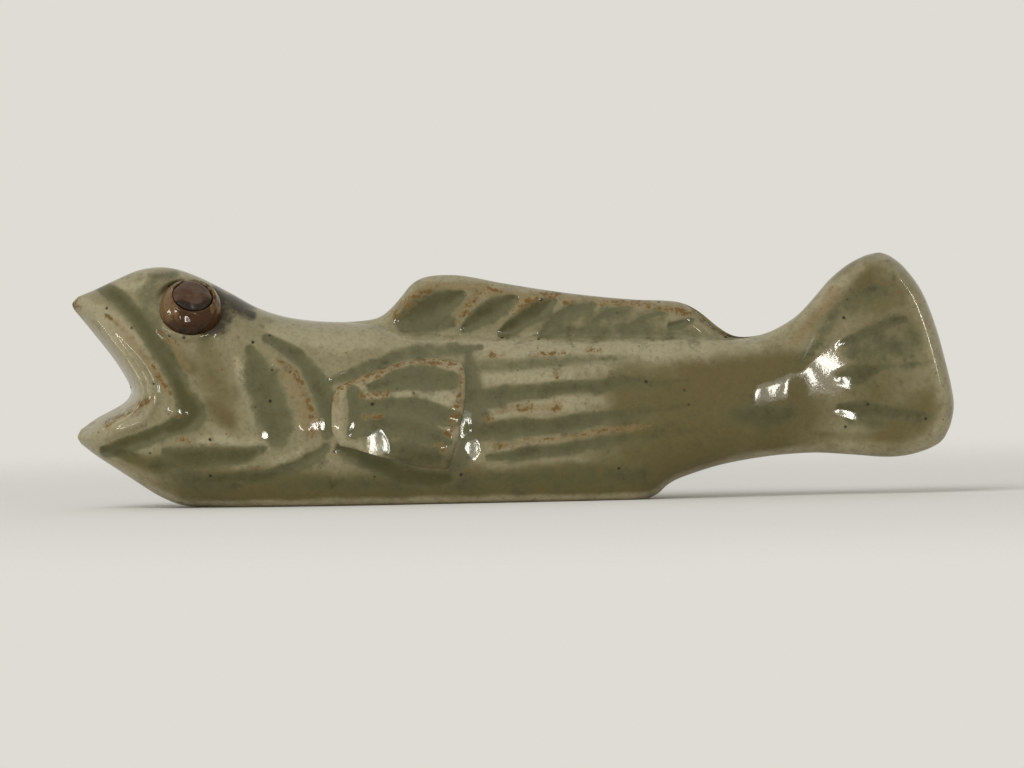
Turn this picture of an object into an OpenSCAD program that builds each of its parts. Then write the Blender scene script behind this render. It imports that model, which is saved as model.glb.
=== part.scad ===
// Fish-shaped ceramic chopstick rest, standing on its flat belly foot.
// +Z is up, the head points to -X, and the left side of the fish faces -Y.
// Lengths are in millimetres. A share is a part of the size that it follows.

/* [Overall size] */
// Length from the jaw tips to the rear edge of the tail
fish_length = 86; // [70:1:105]
// Height from the foot to the top of the tail
fish_height = 23.6; // [20:0.2:28]
// Thickness of the body across the gills, without the side fins
body_thickness = 13.2; // [11:0.2:16]
// Width of the flat foot at its widest place
foot_width = 9.4; // [6:0.2:10]

/* [Fins and tail] */
// Thickness of the dorsal fin
dorsal_thickness = 2.8; // [2:0.1:4]
// Thickness of the tail inside its rim
tail_thickness = 3.6; // [2.8:0.1:4.8]
// Depth of the dish between the tail's middle and its rim
tail_dish = 0.5; // [0.1:0.05:0.8]
// Width of the rim that is left round the tail's dish
tail_rim = 2.2; // [1.4:0.1:3]
// Height of a side fin over the flank
side_fin_height = 1.1; // [0.8:0.1:1.8]
// Height of a side fin's blunt edge
side_fin_edge = 0.4; // [0.2:0.05:0.6]

/* [Carving] */
// Depth of a carved groove
groove_depth = 0.6; // [0.2:0.05:0.8]
// Width of a plain groove
groove_width = 1.5; // [1:0.1:2]
// Height of the raised gill edge
ridge_height = 0.35; // [0.1:0.05:0.6]
// Depth of the grooves between the rays of a side fin
ray_depth = 0.4; // [0.1:0.05:0.5]
// Width of the rounding from the lips into the mouth
lip_round = 2; // [1:0.1:3]
// Width of the rounding along the edges of the fins and the tail
edge_round = 1.3; // [0.8:0.1:2]

/* [Eyes] */
// Diameter of an eye pellet where it meets the head
eye_diameter = 5.9; // [5.2:0.1:6.6]
// Height of an eye pellet over its seat
eye_height = 1.9; // [1.5:0.1:2.2]
// Width of the rim round the hollow in an eye
eye_rim = 0.25; // [0.15:0.05:0.4]
// Depth of the hollow that holds the pupil
pupil_hollow = 0.65; // [0.5:0.05:0.8]
// Thickness of the pupil
pupil_thickness = 0.4; // [0.2:0.05:0.45]
// Angle by which an eye looks upwards
eye_tilt = 37; // [20:1:42]
// Angle by which an eye looks back to the tail
eye_turn = 4; // [-5:1:10]

/* [Hidden] */

celadon = "#8C8562";
celadon_light = "#9A9170";
iron_amber = "#5A3A1E";
iron_dark = "#3A2A22";

// Gap between a laid-on piece and its seat
seat_gap = 0.05;
// Half of the flat seam land that the moulded halves leave round the outline
seam_land = 0.12;
// Depth to which an eye pellet is pressed into the head
eye_sink = 0.3;
// Width of the band in which an eye's flat seat runs out into the head
eye_moat = 1.1;
// Width of the flat margin of the seat outside an eye
eye_margin = 0.35;
// Distance from the rim over which the carving runs out
carving_fade = 0.9;
// Height by which a pupil's middle stands over its edge
pupil_crown = 0.12;
// Power of the rounded cross section: 2 is an ellipse, and more is fuller
fullness = 2.3;
// Power with which the core, the fins and the tail run into each other
blending = 4;
// Share of the steps that crowd at the edges, against even steps, for rows of facets
edge_crowding_share = 0.6;

// Numbers of columns from the jaw tips to the mouth corner, the gills, the fin's end and the tail
mouth_columns = 10;
gill_columns = 48;
fin_columns = 98;
columns = 110;
// Numbers of rows below and above the line through the mouth corner
low_rows = 16;
high_rows = 22;
// Facets round an eye and a pupil
roundness = 64;
// Numbers of columns and rows of a side fin
fin_ray_columns = 18;
fin_ray_rows = 18;

// Outline as shares of the length and the height, from the jaws to the tail.
// The back of the head runs into the first saddle.
head_back_shares = [
    [0.007, 0.881], [0.026, 0.909], [0.053, 0.953], [0.075, 0.985], [0.098, 0.997], [0.120, 0.987],
    [0.149, 0.946], [0.182, 0.881], [0.210, 0.823], [0.240, 0.784], [0.272, 0.764], [0.307, 0.756],
];
// The dorsal fin is steep in front and falls gently behind.
dorsal_edge_shares = [
    [0.335, 0.761], [0.350, 0.775], [0.362, 0.808], [0.374, 0.855], [0.386, 0.906], [0.400, 0.933],
    [0.420, 0.942], [0.445, 0.937], [0.488, 0.905], [0.543, 0.869], [0.591, 0.844], [0.640, 0.825],
    [0.676, 0.818], [0.692, 0.808], [0.704, 0.785], [0.717, 0.735], [0.730, 0.694], [0.745, 0.667],
];
// The rear saddle, where a chopstick lies, rises into the tail.
saddle_shares = [[0.765, 0.660], [0.785, 0.673]];
tail_top_shares = [
    [0.805, 0.704], [0.825, 0.752], [0.843, 0.820], [0.860, 0.890], [0.880, 0.949], [0.900, 0.987],
    [0.917, 1.000],
];
tail_rear_shares = [
    [0.986, 0.219], [0.996, 0.285], [1.000, 0.363], [0.997, 0.450], [0.991, 0.550], [0.981, 0.690],
    [0.966, 0.835], [0.947, 0.935], [0.932, 0.982], [0.917, 1.000],
];
// The chin, the straight foot, the step behind it and the underside of the tail.
belly_shares = [
    [0.007, 0.271], [0.022, 0.226], [0.050, 0.156], [0.075, 0.094], [0.092, 0.054], [0.106, 0.028],
    [0.120, 0.010], [0.138, 0.000], [0.160, 0.000], [0.620, 0.000], [0.644, 0.000], [0.656, 0.008],
    [0.664, 0.026], [0.671, 0.050], [0.682, 0.074], [0.700, 0.098], [0.730, 0.130], [0.765, 0.154],
    [0.802, 0.170], [0.840, 0.176], [0.880, 0.166], [0.920, 0.153], [0.945, 0.158], [0.968, 0.180],
    [0.986, 0.219],
];
upper_tip_shares = [[0.002, 0.828], [0.000, 0.852], [0.007, 0.881]];
lower_tip_shares = [[0.007, 0.271], [0.003, 0.300], [0.007, 0.329]];
// Both lips run from the jaw tips to the mouth corner.
upper_lip_shares = [
    [0.002, 0.828], [0.025, 0.722], [0.046, 0.620], [0.058, 0.550], [0.064, 0.505], [0.065, 0.479],
];
lower_lip_shares = [
    [0.007, 0.329], [0.024, 0.373], [0.044, 0.411], [0.056, 0.436], [0.062, 0.457], [0.065, 0.479],
];
// Line through the body from the mouth corner to the tail, which parts the two sets of rows.
middle_shares = [[0.065, 0.479], [0.200, 0.470], [0.500, 0.450], [0.800, 0.450]];
// Share of the back line that lies in front of the mouth corner.
mouth_share = 0.064;
// Shares of the back line that the gill columns and the fin columns reach.
gill_reach_share = 0.31;
fin_reach_share = 0.82;
// Share of the rear edge, measured along it, that lies below the middle line.
rear_low_share = 0.3;
// Shares of the length over which the dorsal fin's thickness turns into the tail's.
tail_start_share = 0.74;
tail_full_share = 0.86;
// Shares of the length over which the tail's dish begins.
dish_start_share = 0.85;
dish_full_share = 0.91;
// Share of the length behind which nothing is rounded into the mouth.
head_share = 0.3;

// Rounded core of the body: rows of share of the length, then share of the size.
half_thickness_shares = [
    [0.00, 0.52], [0.05, 0.65], [0.10, 0.76], [0.15, 0.86], [0.20, 0.94], [0.25, 0.98], [0.30, 1.00],
    [0.36, 0.98], [0.45, 0.91], [0.55, 0.82], [0.65, 0.69], [0.72, 0.58], [0.78, 0.47], [0.84, 0.36],
    [0.90, 0.26], [1.00, 0.18],
];
axis_height_shares = [
    [0.00, 0.55], [0.10, 0.47], [0.20, 0.38], [0.30, 0.33], [0.50, 0.31], [0.65, 0.34], [0.75, 0.39],
    [0.85, 0.44], [1.00, 0.50],
];
foot_half_shares = [
    [0.138, 0.00], [0.160, 0.42], [0.200, 0.72], [0.270, 0.95], [0.350, 1.00], [0.450, 0.96],
    [0.550, 0.86], [0.620, 0.72], [0.642, 0.56], [0.656, 0.00],
];
// The core's crest follows the back, passes under the dorsal fin and ends inside the tail.
fin_root_shares = [[0.345, 0.742], [0.400, 0.708], [0.500, 0.694], [0.600, 0.684], [0.700, 0.672]];
tail_crest_shares = [[0.760, 0.656], [0.800, 0.656], [0.850, 0.640], [0.900, 0.600], [1.000, 0.550]];
tail_keel_shares = [[0.802, 0.170], [0.840, 0.190], [0.880, 0.240], [0.920, 0.320], [1.000, 0.440]];

// Carved strokes: points of length share, height share and share of the groove's width.
jaw_strokes = [
    [
        [0.036, 0.933, 0.9], [0.057, 0.853, 1.1], [0.079, 0.748, 1.2], [0.104, 0.642, 1.1],
        [0.119, 0.550, 1.0], [0.131, 0.466, 1.0], [0.138, 0.382, 1.3],
    ],
    [
        [0.135, 0.362, 1.2], [0.117, 0.334, 1.0], [0.094, 0.311, 0.8], [0.071, 0.283, 0.8],
        [0.051, 0.255, 0.8], [0.032, 0.236, 0.5],
    ],
    [[0.137, 0.225, 0.5], [0.167, 0.222, 0.9], [0.196, 0.225, 0.9], [0.216, 0.240, 0.5]],
    [
        [0.116, 0.097, 1.3], [0.155, 0.095, 1.4], [0.195, 0.092, 1.4], [0.235, 0.114, 1.4],
        [0.264, 0.162, 0.9], [0.285, 0.218, 0.6],
    ],
];
gill_strokes = [
    [
        [0.205, 0.647, 0.7], [0.215, 0.564, 1.3], [0.223, 0.472, 1.7], [0.230, 0.380, 1.7],
        [0.233, 0.297, 1.2],
    ],
    [
        [0.221, 0.704, 0.6], [0.240, 0.657, 0.8], [0.260, 0.602, 1.0], [0.274, 0.530, 1.0],
        [0.283, 0.451, 1.0], [0.286, 0.372, 1.0], [0.285, 0.301, 0.6],
    ],
];
gill_edge_strokes = [[
    [0.231, 0.600, 0.7], [0.248, 0.541, 0.9], [0.259, 0.469, 1.2], [0.264, 0.394, 1.3],
    [0.267, 0.311, 1.2],
]];
flank_strokes = [
    [
        [0.295, 0.516, 0.6], [0.323, 0.552, 0.7], [0.351, 0.587, 0.7], [0.382, 0.614, 0.7],
        [0.414, 0.629, 0.7], [0.442, 0.635, 0.7], [0.464, 0.642, 0.4],
    ],
    [
        [0.300, 0.221, 0.5], [0.323, 0.187, 0.9], [0.355, 0.143, 1.1], [0.386, 0.099, 1.0],
        [0.417, 0.080, 0.6],
    ],
    [
        [0.459, 0.559, 0.6], [0.493, 0.565, 0.7], [0.533, 0.579, 0.7], [0.579, 0.588, 0.6],
        [0.624, 0.593, 0.5], [0.673, 0.590, 0.3],
    ],
    [
        [0.452, 0.427, 0.9], [0.481, 0.445, 1.1], [0.515, 0.455, 0.9], [0.555, 0.469, 0.8],
        [0.601, 0.483, 0.7], [0.646, 0.475, 0.7], [0.697, 0.455, 0.5],
    ],
    [
        [0.442, 0.282, 0.7], [0.480, 0.300, 0.9], [0.526, 0.313, 0.8], [0.572, 0.327, 0.7],
        [0.617, 0.349, 0.7], [0.657, 0.367, 0.4],
    ],
    [
        [0.464, 0.193, 0.5], [0.503, 0.203, 0.6], [0.548, 0.216, 0.7], [0.594, 0.234, 0.7],
        [0.639, 0.247, 0.7], [0.683, 0.265, 0.5],
    ],
];
dorsal_strokes = [
    [[0.376, 0.739, 0.8], [0.398, 0.771, 1.6], [0.421, 0.807, 1.7], [0.445, 0.851, 0.8]],
    [[0.446, 0.718, 0.7], [0.465, 0.754, 1.0], [0.483, 0.798, 1.2], [0.503, 0.842, 0.7]],
    [[0.485, 0.702, 0.6], [0.506, 0.747, 0.9], [0.526, 0.791, 0.9], [0.541, 0.823, 0.5]],
    [[0.534, 0.687, 0.7], [0.558, 0.739, 1.2], [0.579, 0.783, 1.2], [0.595, 0.811, 0.6]],
    [[0.585, 0.687, 0.7], [0.606, 0.736, 1.2], [0.622, 0.772, 1.2], [0.638, 0.800, 0.6]],
    [[0.633, 0.684, 0.7], [0.651, 0.728, 1.2], [0.665, 0.760, 1.0], [0.675, 0.776, 0.5]],
    [[0.681, 0.722, 0.3], [0.706, 0.733, 0.5]],
    [
        [0.546, 0.677, 0.5], [0.596, 0.682, 0.8], [0.653, 0.682, 0.8], [0.710, 0.683, 0.8],
        [0.737, 0.676, 0.5],
    ],
];
tail_strokes = [
    [[0.819, 0.604, 0.5], [0.840, 0.653, 0.7], [0.857, 0.718, 0.8], [0.867, 0.779, 0.6]],
    [[0.879, 0.783, 0.6], [0.897, 0.815, 0.8], [0.922, 0.850, 0.5]],
    [[0.876, 0.654, 0.5], [0.908, 0.681, 0.7], [0.944, 0.720, 0.4]],
    [[0.889, 0.591, 1.3], [0.925, 0.589, 2.0], [0.962, 0.594, 1.3]],
    [[0.870, 0.493, 0.7], [0.893, 0.479, 1.0], [0.913, 0.486, 0.5]],
    [[0.872, 0.356, 0.8], [0.904, 0.345, 1.0], [0.938, 0.334, 0.8], [0.965, 0.328, 0.5]],
];
// Grooves between the rays of a side fin.
ray_strokes = [
    [[0.317, 0.473, 0.8], [0.323, 0.415, 1.0], [0.324, 0.348, 1.0]],
    [[0.338, 0.493, 0.8], [0.368, 0.520, 1.2], [0.402, 0.526, 1.3], [0.434, 0.502, 0.9]],
    [[0.338, 0.410, 0.8], [0.367, 0.408, 1.1], [0.401, 0.389, 1.2], [0.434, 0.349, 0.9]],
    [[0.328, 0.327, 0.9], [0.361, 0.321, 1.1], [0.395, 0.298, 1.1], [0.421, 0.267, 0.8]],
    [[0.357, 0.234, 0.8], [0.383, 0.211, 0.9], [0.409, 0.193, 0.8]],
];

// Outline of a side fin.
fin_base_shares = [[0.302, 0.250], [0.294, 0.309], [0.293, 0.384], [0.295, 0.450], [0.300, 0.491]];
fin_top_shares = [[0.300, 0.491], [0.332, 0.543], [0.377, 0.590], [0.410, 0.605], [0.442, 0.585]];
fin_end_shares = [[0.423, 0.146], [0.430, 0.200], [0.441, 0.349], [0.446, 0.514], [0.442, 0.585]];
fin_low_shares = [[0.302, 0.250], [0.323, 0.232], [0.373, 0.175], [0.400, 0.152], [0.423, 0.146]];

// Middle of an eye's seat
eye_place_shares = [0.131, 0.822];

// Plain arithmetic
function lerp(a, b, t) = a + (b - a) * t;
function bound(x, low, high) = max(low, min(high, x));
function ease(x, low, high) = let (t = bound((x - low) / (high - low), 0, 1)) t * t * (3 - 2 * t);
function last(list) = list[len(list) - 1];

// Value at x of the smooth curve through rows of [position, value]
function row_before(rows, x, a, b) =
    b - a < 2 ? a
    : let (mid = floor((a + b) / 2))
        rows[mid][0] > x ? row_before(rows, x, a, mid) : row_before(rows, x, mid, b);
function row_slope(rows, k) =
    let (a = rows[max(k - 1, 0)], b = rows[min(k + 1, len(rows) - 1)]) (b[1] - a[1]) / (b[0] - a[0]);
function smooth_at(rows, x) =
    let (
        k = row_before(rows, x, 0, len(rows) - 1),
        a = rows[k],
        b = rows[k + 1],
        gap = b[0] - a[0],
        t = bound((x - a[0]) / gap, 0, 1),
        rise = t * t * (3 - 2 * t),
        bend = t * (1 - t)
    )
    lerp(a[1], b[1], rise) + gap * bend * (row_slope(rows, k) * (1 - t) - row_slope(rows, k + 1) * t);

// Points of the side view in millimetres, kept inside the overall size
function inside(p) = [bound(p[0], -fish_length / 2, fish_length / 2), bound(p[1], 0, fish_height)];
function place(share) = inside([(share[0] - 1 / 2) * fish_length, share[1] * fish_height]);
function places(shares) = [for (s = shares) place(s)];
// Rows of a curve by its x, and by the share of its length from its start
function rows_by_x(points) = [for (p = points) [p[0], p]];
function rows_by_run(points) =
    let (
        gaps = concat([for (k = [1 : len(points) - 1]) norm(points[k] - points[k - 1])], [0]),
        runs = [for (k = 0, run = 0; k < len(points); run = run + gaps[k], k = k + 1) run]
    )
    [for (k = [0 : len(points) - 1]) [runs[k] / last(runs), points[k]]];

back_rows = rows_by_x(places(concat(head_back_shares, dorsal_edge_shares, saddle_shares, tail_top_shares)));
belly_rows = rows_by_x(places(belly_shares));
crest_rows = rows_by_x(places(concat(head_back_shares, fin_root_shares, tail_crest_shares)));
keel_rows = rows_by_x(places(tail_keel_shares));
upper_tip_rows = rows_by_run(places(upper_tip_shares));
lower_tip_rows = rows_by_run(places(lower_tip_shares));
upper_lip_rows = rows_by_run(places(upper_lip_shares));
lower_lip_rows = rows_by_run(places(lower_lip_shares));
rear_rows = rows_by_run(places(tail_rear_shares));

// Curves of the side view from the jaws, t = 0, to the tail, t = 1
function along_x(rows, t) = inside(smooth_at(rows, lerp(rows[0][0], last(rows)[0], t)));
function along(rows, t) = inside(smooth_at(rows, t));
mouth_corner = last(upper_lip_rows)[1];
rear_middle = along(rear_rows, rear_low_share);
middle_rows = rows_by_run(concat(places(middle_shares), [rear_middle]));
function lip_line(lip_rows, t) =
    t < mouth_share ? along(lip_rows, t / mouth_share)
    : along(middle_rows, (t - mouth_share) / (1 - mouth_share));

// Half thickness of the rounded core under the point p of the side view
function core(p) =
    let (
        share = p[0] / fish_length + 1 / 2,
        half = smooth_at(half_thickness_shares, share) * body_thickness / 2,
        axis = smooth_at(axis_height_shares, share) * fish_height,
        crest = smooth_at(crest_rows, p[0])[1],
        keel = p[0] > keel_rows[0][0] ? smooth_at(keel_rows, p[0])[1]
            : max(0, smooth_at(belly_rows, p[0])[1]),
        foot = share < foot_half_shares[0][0] ? 0
            : max(0, smooth_at(foot_half_shares, share)) * foot_width / 2,
        reach = (1 - (foot / half) ^ fullness) ^ (1 / fullness),
        q = p[1] > axis ? (p[1] - axis) / (crest - axis) : (axis - p[1]) * reach / (axis - keel)
    )
    half * (1 - bound(q, 0, 1) ^ fullness) ^ (1 / fullness);
// Half thickness of the web that the fin and the tail are made of
function web(p) =
    let (share = p[0] / fish_length + 1 / 2)
    lerp(dorsal_thickness, tail_thickness, ease(share, tail_start_share, tail_full_share)) / 2;
function join(a, b) = (a ^ blending + b ^ blending) ^ (1 / blending);
// Half thickness away from all edges, on which the laid-on pieces sit
function seat(p) = join(core(p), web(p));
// Quarter-round that rises from 0 at an edge to 1 at the distance width
function rounding(distance, width) = let (t = 1 - bound(distance / width, 0, 1)) sqrt(1 - t * t);

// Strokes in millimetres: [lowest x, highest x, points of x, z and half width]
function stroke_points(stroke, width) = [
    for (s = stroke) let (p = place(s)) [p[0], p[1], s[2] * width / 2],
];
function ready(strokes, width) = [
    for (stroke = strokes)
        let (
            points = stroke_points(stroke, width),
            xs = [for (p = points) p[0]],
            widest = max([for (p = points) p[2]])
        )
        [min(xs) - widest, max(xs) + widest, points],
];
// Depth of a stroke at p, from 0 outside it to 1 on its line
function segment_level(p, a, b) =
    let (
        run = [b[0] - a[0], b[1] - a[1]],
        t = bound(([p[0] - a[0], p[1] - a[1]] * run) / (run * run), 0, 1),
        off = norm([p[0] - lerp(a[0], b[0], t), p[1] - lerp(a[1], b[1], t)]) / lerp(a[2], b[2], t)
    )
    off < 1 ? (1 - off * off) ^ 2 : 0;
function level(p, strokes) = max([
    0,
    for (s = strokes) if (p[0] > s[0] && p[0] < s[1])
        for (k = [1 : len(s[2]) - 1]) segment_level(p, s[2][k - 1], s[2][k]),
]);
body_grooves = ready(
    concat(jaw_strokes, gill_strokes, flank_strokes, dorsal_strokes, tail_strokes), groove_width);
body_ridges = ready(gill_edge_strokes, groove_width);
fin_grooves = ready(ray_strokes, groove_width);

// Seat of an eye: a flat facing outwards and upwards
eye_radius = eye_diameter / 2;
eye_place = place(eye_place_shares);
eye_depth = seat(eye_place) - eye_sink;
eye_normal = [sin(eye_turn) * cos(eye_tilt), -cos(eye_turn) * cos(eye_tilt), sin(eye_tilt)];
function eye_flat(p) =
    let (off = p - eye_place) eye_depth + (eye_normal[0] * off[0] + eye_normal[2] * off[1]) / eye_normal[1];
function seated(p, half) =
    let (
        flat = eye_flat(p),
        off = norm([p[0] - eye_place[0], flat - eye_depth, p[1] - eye_place[1]]) - eye_radius - eye_margin
    )
    off < eye_moat ? lerp(flat, half, ease(off, 0, eye_moat)) : half;

// Distance from p to the lips, which meet at the mouth corner
lip_points = concat(
    [for (k = [0 : mouth_columns]) along(upper_lip_rows, k / mouth_columns)],
    [for (k = [1 : mouth_columns]) along(lower_lip_rows, 1 - k / mouth_columns)]
);
function to_segment(p, a, b) =
    let (run = b - a, t = bound((p - a) * run / (run * run), 0, 1)) norm(p - a - t * run);
function to_lips(p) =
    min([for (k = [1 : len(lip_points) - 1]) to_segment(p, lip_points[k - 1], lip_points[k])]);

// Half thickness at p, where rim holds the distances to the outer edges
function half_thickness(p, rim) =
    let (
        share = p[0] / fish_length + 1 / 2,
        edge = min(rim),
        round_off = rounding(rim[0], edge_round) * rounding(rim[1], edge_round),
        round_end = rounding(rim[2], edge_round),
        lips = share < head_share ? rounding(to_lips(p), lip_round) : 1,
        dished = ease(share, dish_start_share, dish_full_share) * ease(edge, tail_rim / 2, tail_rim),
        carved = groove_depth * level(p, body_grooves) + tail_dish * dished,
        carving = ridge_height * level(p, body_ridges) - carved,
        smooth_half = join(core(p), web(p) * round_off) * round_end,
        half = (smooth_half + carving * ease(edge, 0, carving_fade)) * lips
    )
    max(seam_land, seated(p, half));

// Grid of one half: rows from the belly to the middle line, then from there to the back.
// Rows crowd at the outer edge, and in front of the mouth corner at the lips too.
function crowded(k, count) = lerp(k / count, (1 - cos(180 * k / count)) / 2, edge_crowding_share);
function crowded_low(k, count) = lerp(k / count, 1 - cos(90 * k / count), edge_crowding_share);
function behind_mouth(t) = ease(t, mouth_share, 2 * mouth_share);
function low_row_share(j, t) = lerp(crowded(j, low_rows), crowded_low(j, low_rows), behind_mouth(t));
function high_row_share(j, t) =
    lerp(crowded(j, high_rows), 1 - crowded_low(high_rows - j, high_rows), behind_mouth(t));
function column_share(i) = lookup(i, [
    [0, 0], [mouth_columns, mouth_share], [gill_columns, gill_reach_share], [fin_columns, fin_reach_share],
    [columns, 1],
]);
// Point of a patch between four edges: its low, high, left and right points, and its corners
function patch(low, high, left, right, corners, t, w) =
    lerp(low, high, w) + (1 - t) * (left - lerp(corners[0], corners[1], w))
    + t ^ 3 * (right - lerp(corners[2], corners[3], w));
function side_point(p, rim) = [p[0], -half_thickness(p, rim), p[1]];
low_corners = [along(lower_tip_rows, 0), along(lower_tip_rows, 1), along(rear_rows, 0), rear_middle];
high_corners = [along(upper_tip_rows, 0), along(upper_tip_rows, 1), rear_middle, along(rear_rows, 1)];
function low_side() = [
    for (i = [0 : columns], j = [0 : low_rows])
        let (
            t = column_share(i),
            w = low_row_share(j, t),
            low = along_x(belly_rows, t),
            high = lip_line(lower_lip_rows, t),
            left = along(lower_tip_rows, w),
            right = along(rear_rows, w * rear_low_share),
            p = inside(patch(low, high, left, right, low_corners, t, w))
        )
        side_point(p, [norm(p - low), norm(p - left), norm(p - right)]),
];
function high_side() = [
    for (i = [0 : columns], j = [0 : high_rows])
        let (
            t = column_share(i),
            w = high_row_share(j, t),
            low = lip_line(upper_lip_rows, t),
            high = along_x(back_rows, t),
            left = along(upper_tip_rows, w),
            right = along(rear_rows, lerp(rear_low_share, 1, w)),
            p = inside(patch(low, high, left, right, high_corners, t, w))
        )
        side_point(p, [norm(p - high), norm(p - left), norm(p - right)]),
];

// Number of a grid point: behind the mouth corner both sets of rows share the middle line
low_count = (columns + 1) * (low_rows + 1);
side_count = low_count + (columns + 1) * (high_rows + 1);
low_number = function (i, j) i * (low_rows + 1) + j;
high_number = function (i, j)
    j == 0 && i >= mouth_columns ? low_number(i, low_rows) : low_count + i * (high_rows + 1) + j;
// Two triangles that face outwards between four points of a grid
function cell(a, b, c, d) = [[a, b, c], [a, c, d]];
function grid_cell(number, i, j) =
    cell(number(i, j), number(i, j + 1), number(i + 1, j + 1), number(i + 1, j));
function low_cells() = [
    for (i = [0 : columns - 1], j = [0 : low_rows - 1])
        each grid_cell(low_number, i, j),
];
function high_cells() = [
    for (i = [0 : columns - 1], j = [0 : high_rows - 1])
        each grid_cell(high_number, i, j),
];
// Rim points in order: lower tip, lower lip, upper lip, upper tip, back, rear edge, belly
rim_loop = concat(
    [for (j = [0 : low_rows]) low_number(0, j)],
    [for (i = [1 : mouth_columns]) low_number(i, low_rows)],
    [for (i = [mouth_columns - 1 : -1 : 0]) high_number(i, 0)],
    [for (j = [1 : high_rows]) high_number(0, j)],
    [for (i = [1 : columns]) high_number(i, high_rows)],
    [for (j = [high_rows - 1 : -1 : 0]) high_number(columns, j)],
    [for (j = [low_rows - 1 : -1 : 0]) low_number(columns, j)],
    [for (i = [columns - 1 : -1 : 1]) low_number(i, 0)]
);
function rim_cells(loop, under) = [
    for (k = [0 : len(loop) - 1])
        let (a = loop[k], b = loop[(k + 1) % len(loop)])
            each cell(a, a + under, b + under, b),
];
// Flat mid-plane face, in strips between the rim points a and b of two neighbouring columns
function strip(a, b) = concat(
    [for (k = [1 : len(a) - 1]) [b[0], a[k], a[k - 1]]],
    [for (k = [1 : len(b) - 1]) [last(a), b[k - 1], b[k]]]
);
function low_rim(i) =
    i == 0 ? [for (j = [0 : low_rows]) low_number(0, j)] : [low_number(i, 0), low_number(i, low_rows)];
function high_rim(i) =
    i == 0 ? [for (j = [0 : high_rows]) high_number(0, j)] : [high_number(i, 0), high_number(i, high_rows)];
function whole_rim(i) =
    i == mouth_columns ? [low_number(i, 0), low_number(i, low_rows), high_number(i, high_rows)]
    : i == columns ? concat(
        [for (j = [0 : low_rows]) low_number(i, j)],
        [for (j = [1 : high_rows]) high_number(i, j)]
    )
    : [low_number(i, 0), high_number(i, high_rows)];
function lowered(faces, under) = [for (f = faces) [for (v = f) v + under]];
mid_cells = concat(
    [for (i = [0 : mouth_columns - 1]) each strip(low_rim(i), low_rim(i + 1))],
    [for (i = [0 : mouth_columns - 1]) each strip(high_rim(i), high_rim(i + 1))],
    [for (i = [mouth_columns : columns - 1]) each strip(whole_rim(i), whole_rim(i + 1))]
);

module side_half() {
    side = concat(low_side(), high_side());
    polyhedron(
        points = concat(side, [for (p = side) [p[0], 0, p[2]]]),
        faces = concat(
            low_cells(),
            high_cells(),
            rim_cells(rim_loop, side_count),
            lowered(mid_cells, side_count)
        ),
        convexity = 8
    );
}

// Side fin: a grid of points over its outline, once on top and once underneath
fin_base_rows = rows_by_run(places(fin_base_shares));
fin_top_rows = rows_by_run(places(fin_top_shares));
fin_end_rows = rows_by_run(places(fin_end_shares));
fin_low_rows = rows_by_run(places(fin_low_shares));
fin_corners = places([
    fin_base_shares[0], last(fin_base_shares), fin_end_shares[0], last(fin_end_shares),
]);
fin_count = (fin_ray_columns + 1) * (fin_ray_rows + 1);
fin_number = function (i, j) i * (fin_ray_rows + 1) + j;
function fin_grid() = [
    for (i = [0 : fin_ray_columns], j = [0 : fin_ray_rows])
        let (
            t = crowded(i, fin_ray_columns),
            w = crowded(j, fin_ray_rows),
            low = along(fin_low_rows, t),
            high = along(fin_top_rows, t),
            left = along(fin_base_rows, w),
            right = along(fin_end_rows, w),
            p = lerp(low, high, w) + lerp(left, right, t)
                - lerp(lerp(fin_corners[0], fin_corners[1], w), lerp(fin_corners[2], fin_corners[3], w), t),
            edge = min([norm(p - low), norm(p - high), norm(p - left), norm(p - right)])
        )
        [p, edge],
];
function fin_height(p, edge) =
    lerp(side_fin_edge, side_fin_height, rounding(edge, edge_round))
    - ray_depth * level(p, fin_grooves) * ease(edge, 0, carving_fade);
fin_loop = concat(
    [for (j = [0 : fin_ray_rows]) fin_number(0, j)],
    [for (i = [1 : fin_ray_columns]) fin_number(i, fin_ray_rows)],
    [for (j = [fin_ray_rows - 1 : -1 : 0]) fin_number(fin_ray_columns, j)],
    [for (i = [fin_ray_columns - 1 : -1 : 1]) fin_number(i, 0)]
);
fin_cells = [
    for (i = [0 : fin_ray_columns - 1], j = [0 : fin_ray_rows - 1])
        each grid_cell(fin_number, i, j),
];
module side_fin() {
    grid = fin_grid();
    top = [for (g = grid) [g[0][0], -seat(g[0]) - seat_gap - fin_height(g[0], g[1]), g[0][1]]];
    under = [for (g = grid) [g[0][0], -seat(g[0]) - seat_gap, g[0][1]]];
    polyhedron(
        points = concat(top, under),
        faces = concat(
            fin_cells,
            [for (f = lowered(fin_cells, fin_count)) [f[2], f[1], f[0]]],
            rim_cells(fin_loop, fin_count)
        ),
        convexity = 4
    );
}

// Eye: a ball cut flat below and above, with a round hollow in its top
eye_top_radius = sqrt(eye_radius ^ 2 - eye_height ^ 2);
hollow_radius = eye_top_radius - eye_rim;
module on_eye_seat() {
    translate([eye_place[0], -eye_depth, eye_place[1]])
        rotate([90 - eye_tilt, 0, eye_turn])
            translate([0, 0, seat_gap])
                children();
}
module eye() {
    on_eye_seat() difference() {
        intersection() {
            sphere(r = eye_radius, $fn = roundness);
            cylinder(r = eye_diameter, h = eye_height, $fn = roundness);
        }
        translate([0, 0, eye_height - pupil_hollow])
            cylinder(r = hollow_radius, h = eye_height, $fn = roundness);
    }
}
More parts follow.
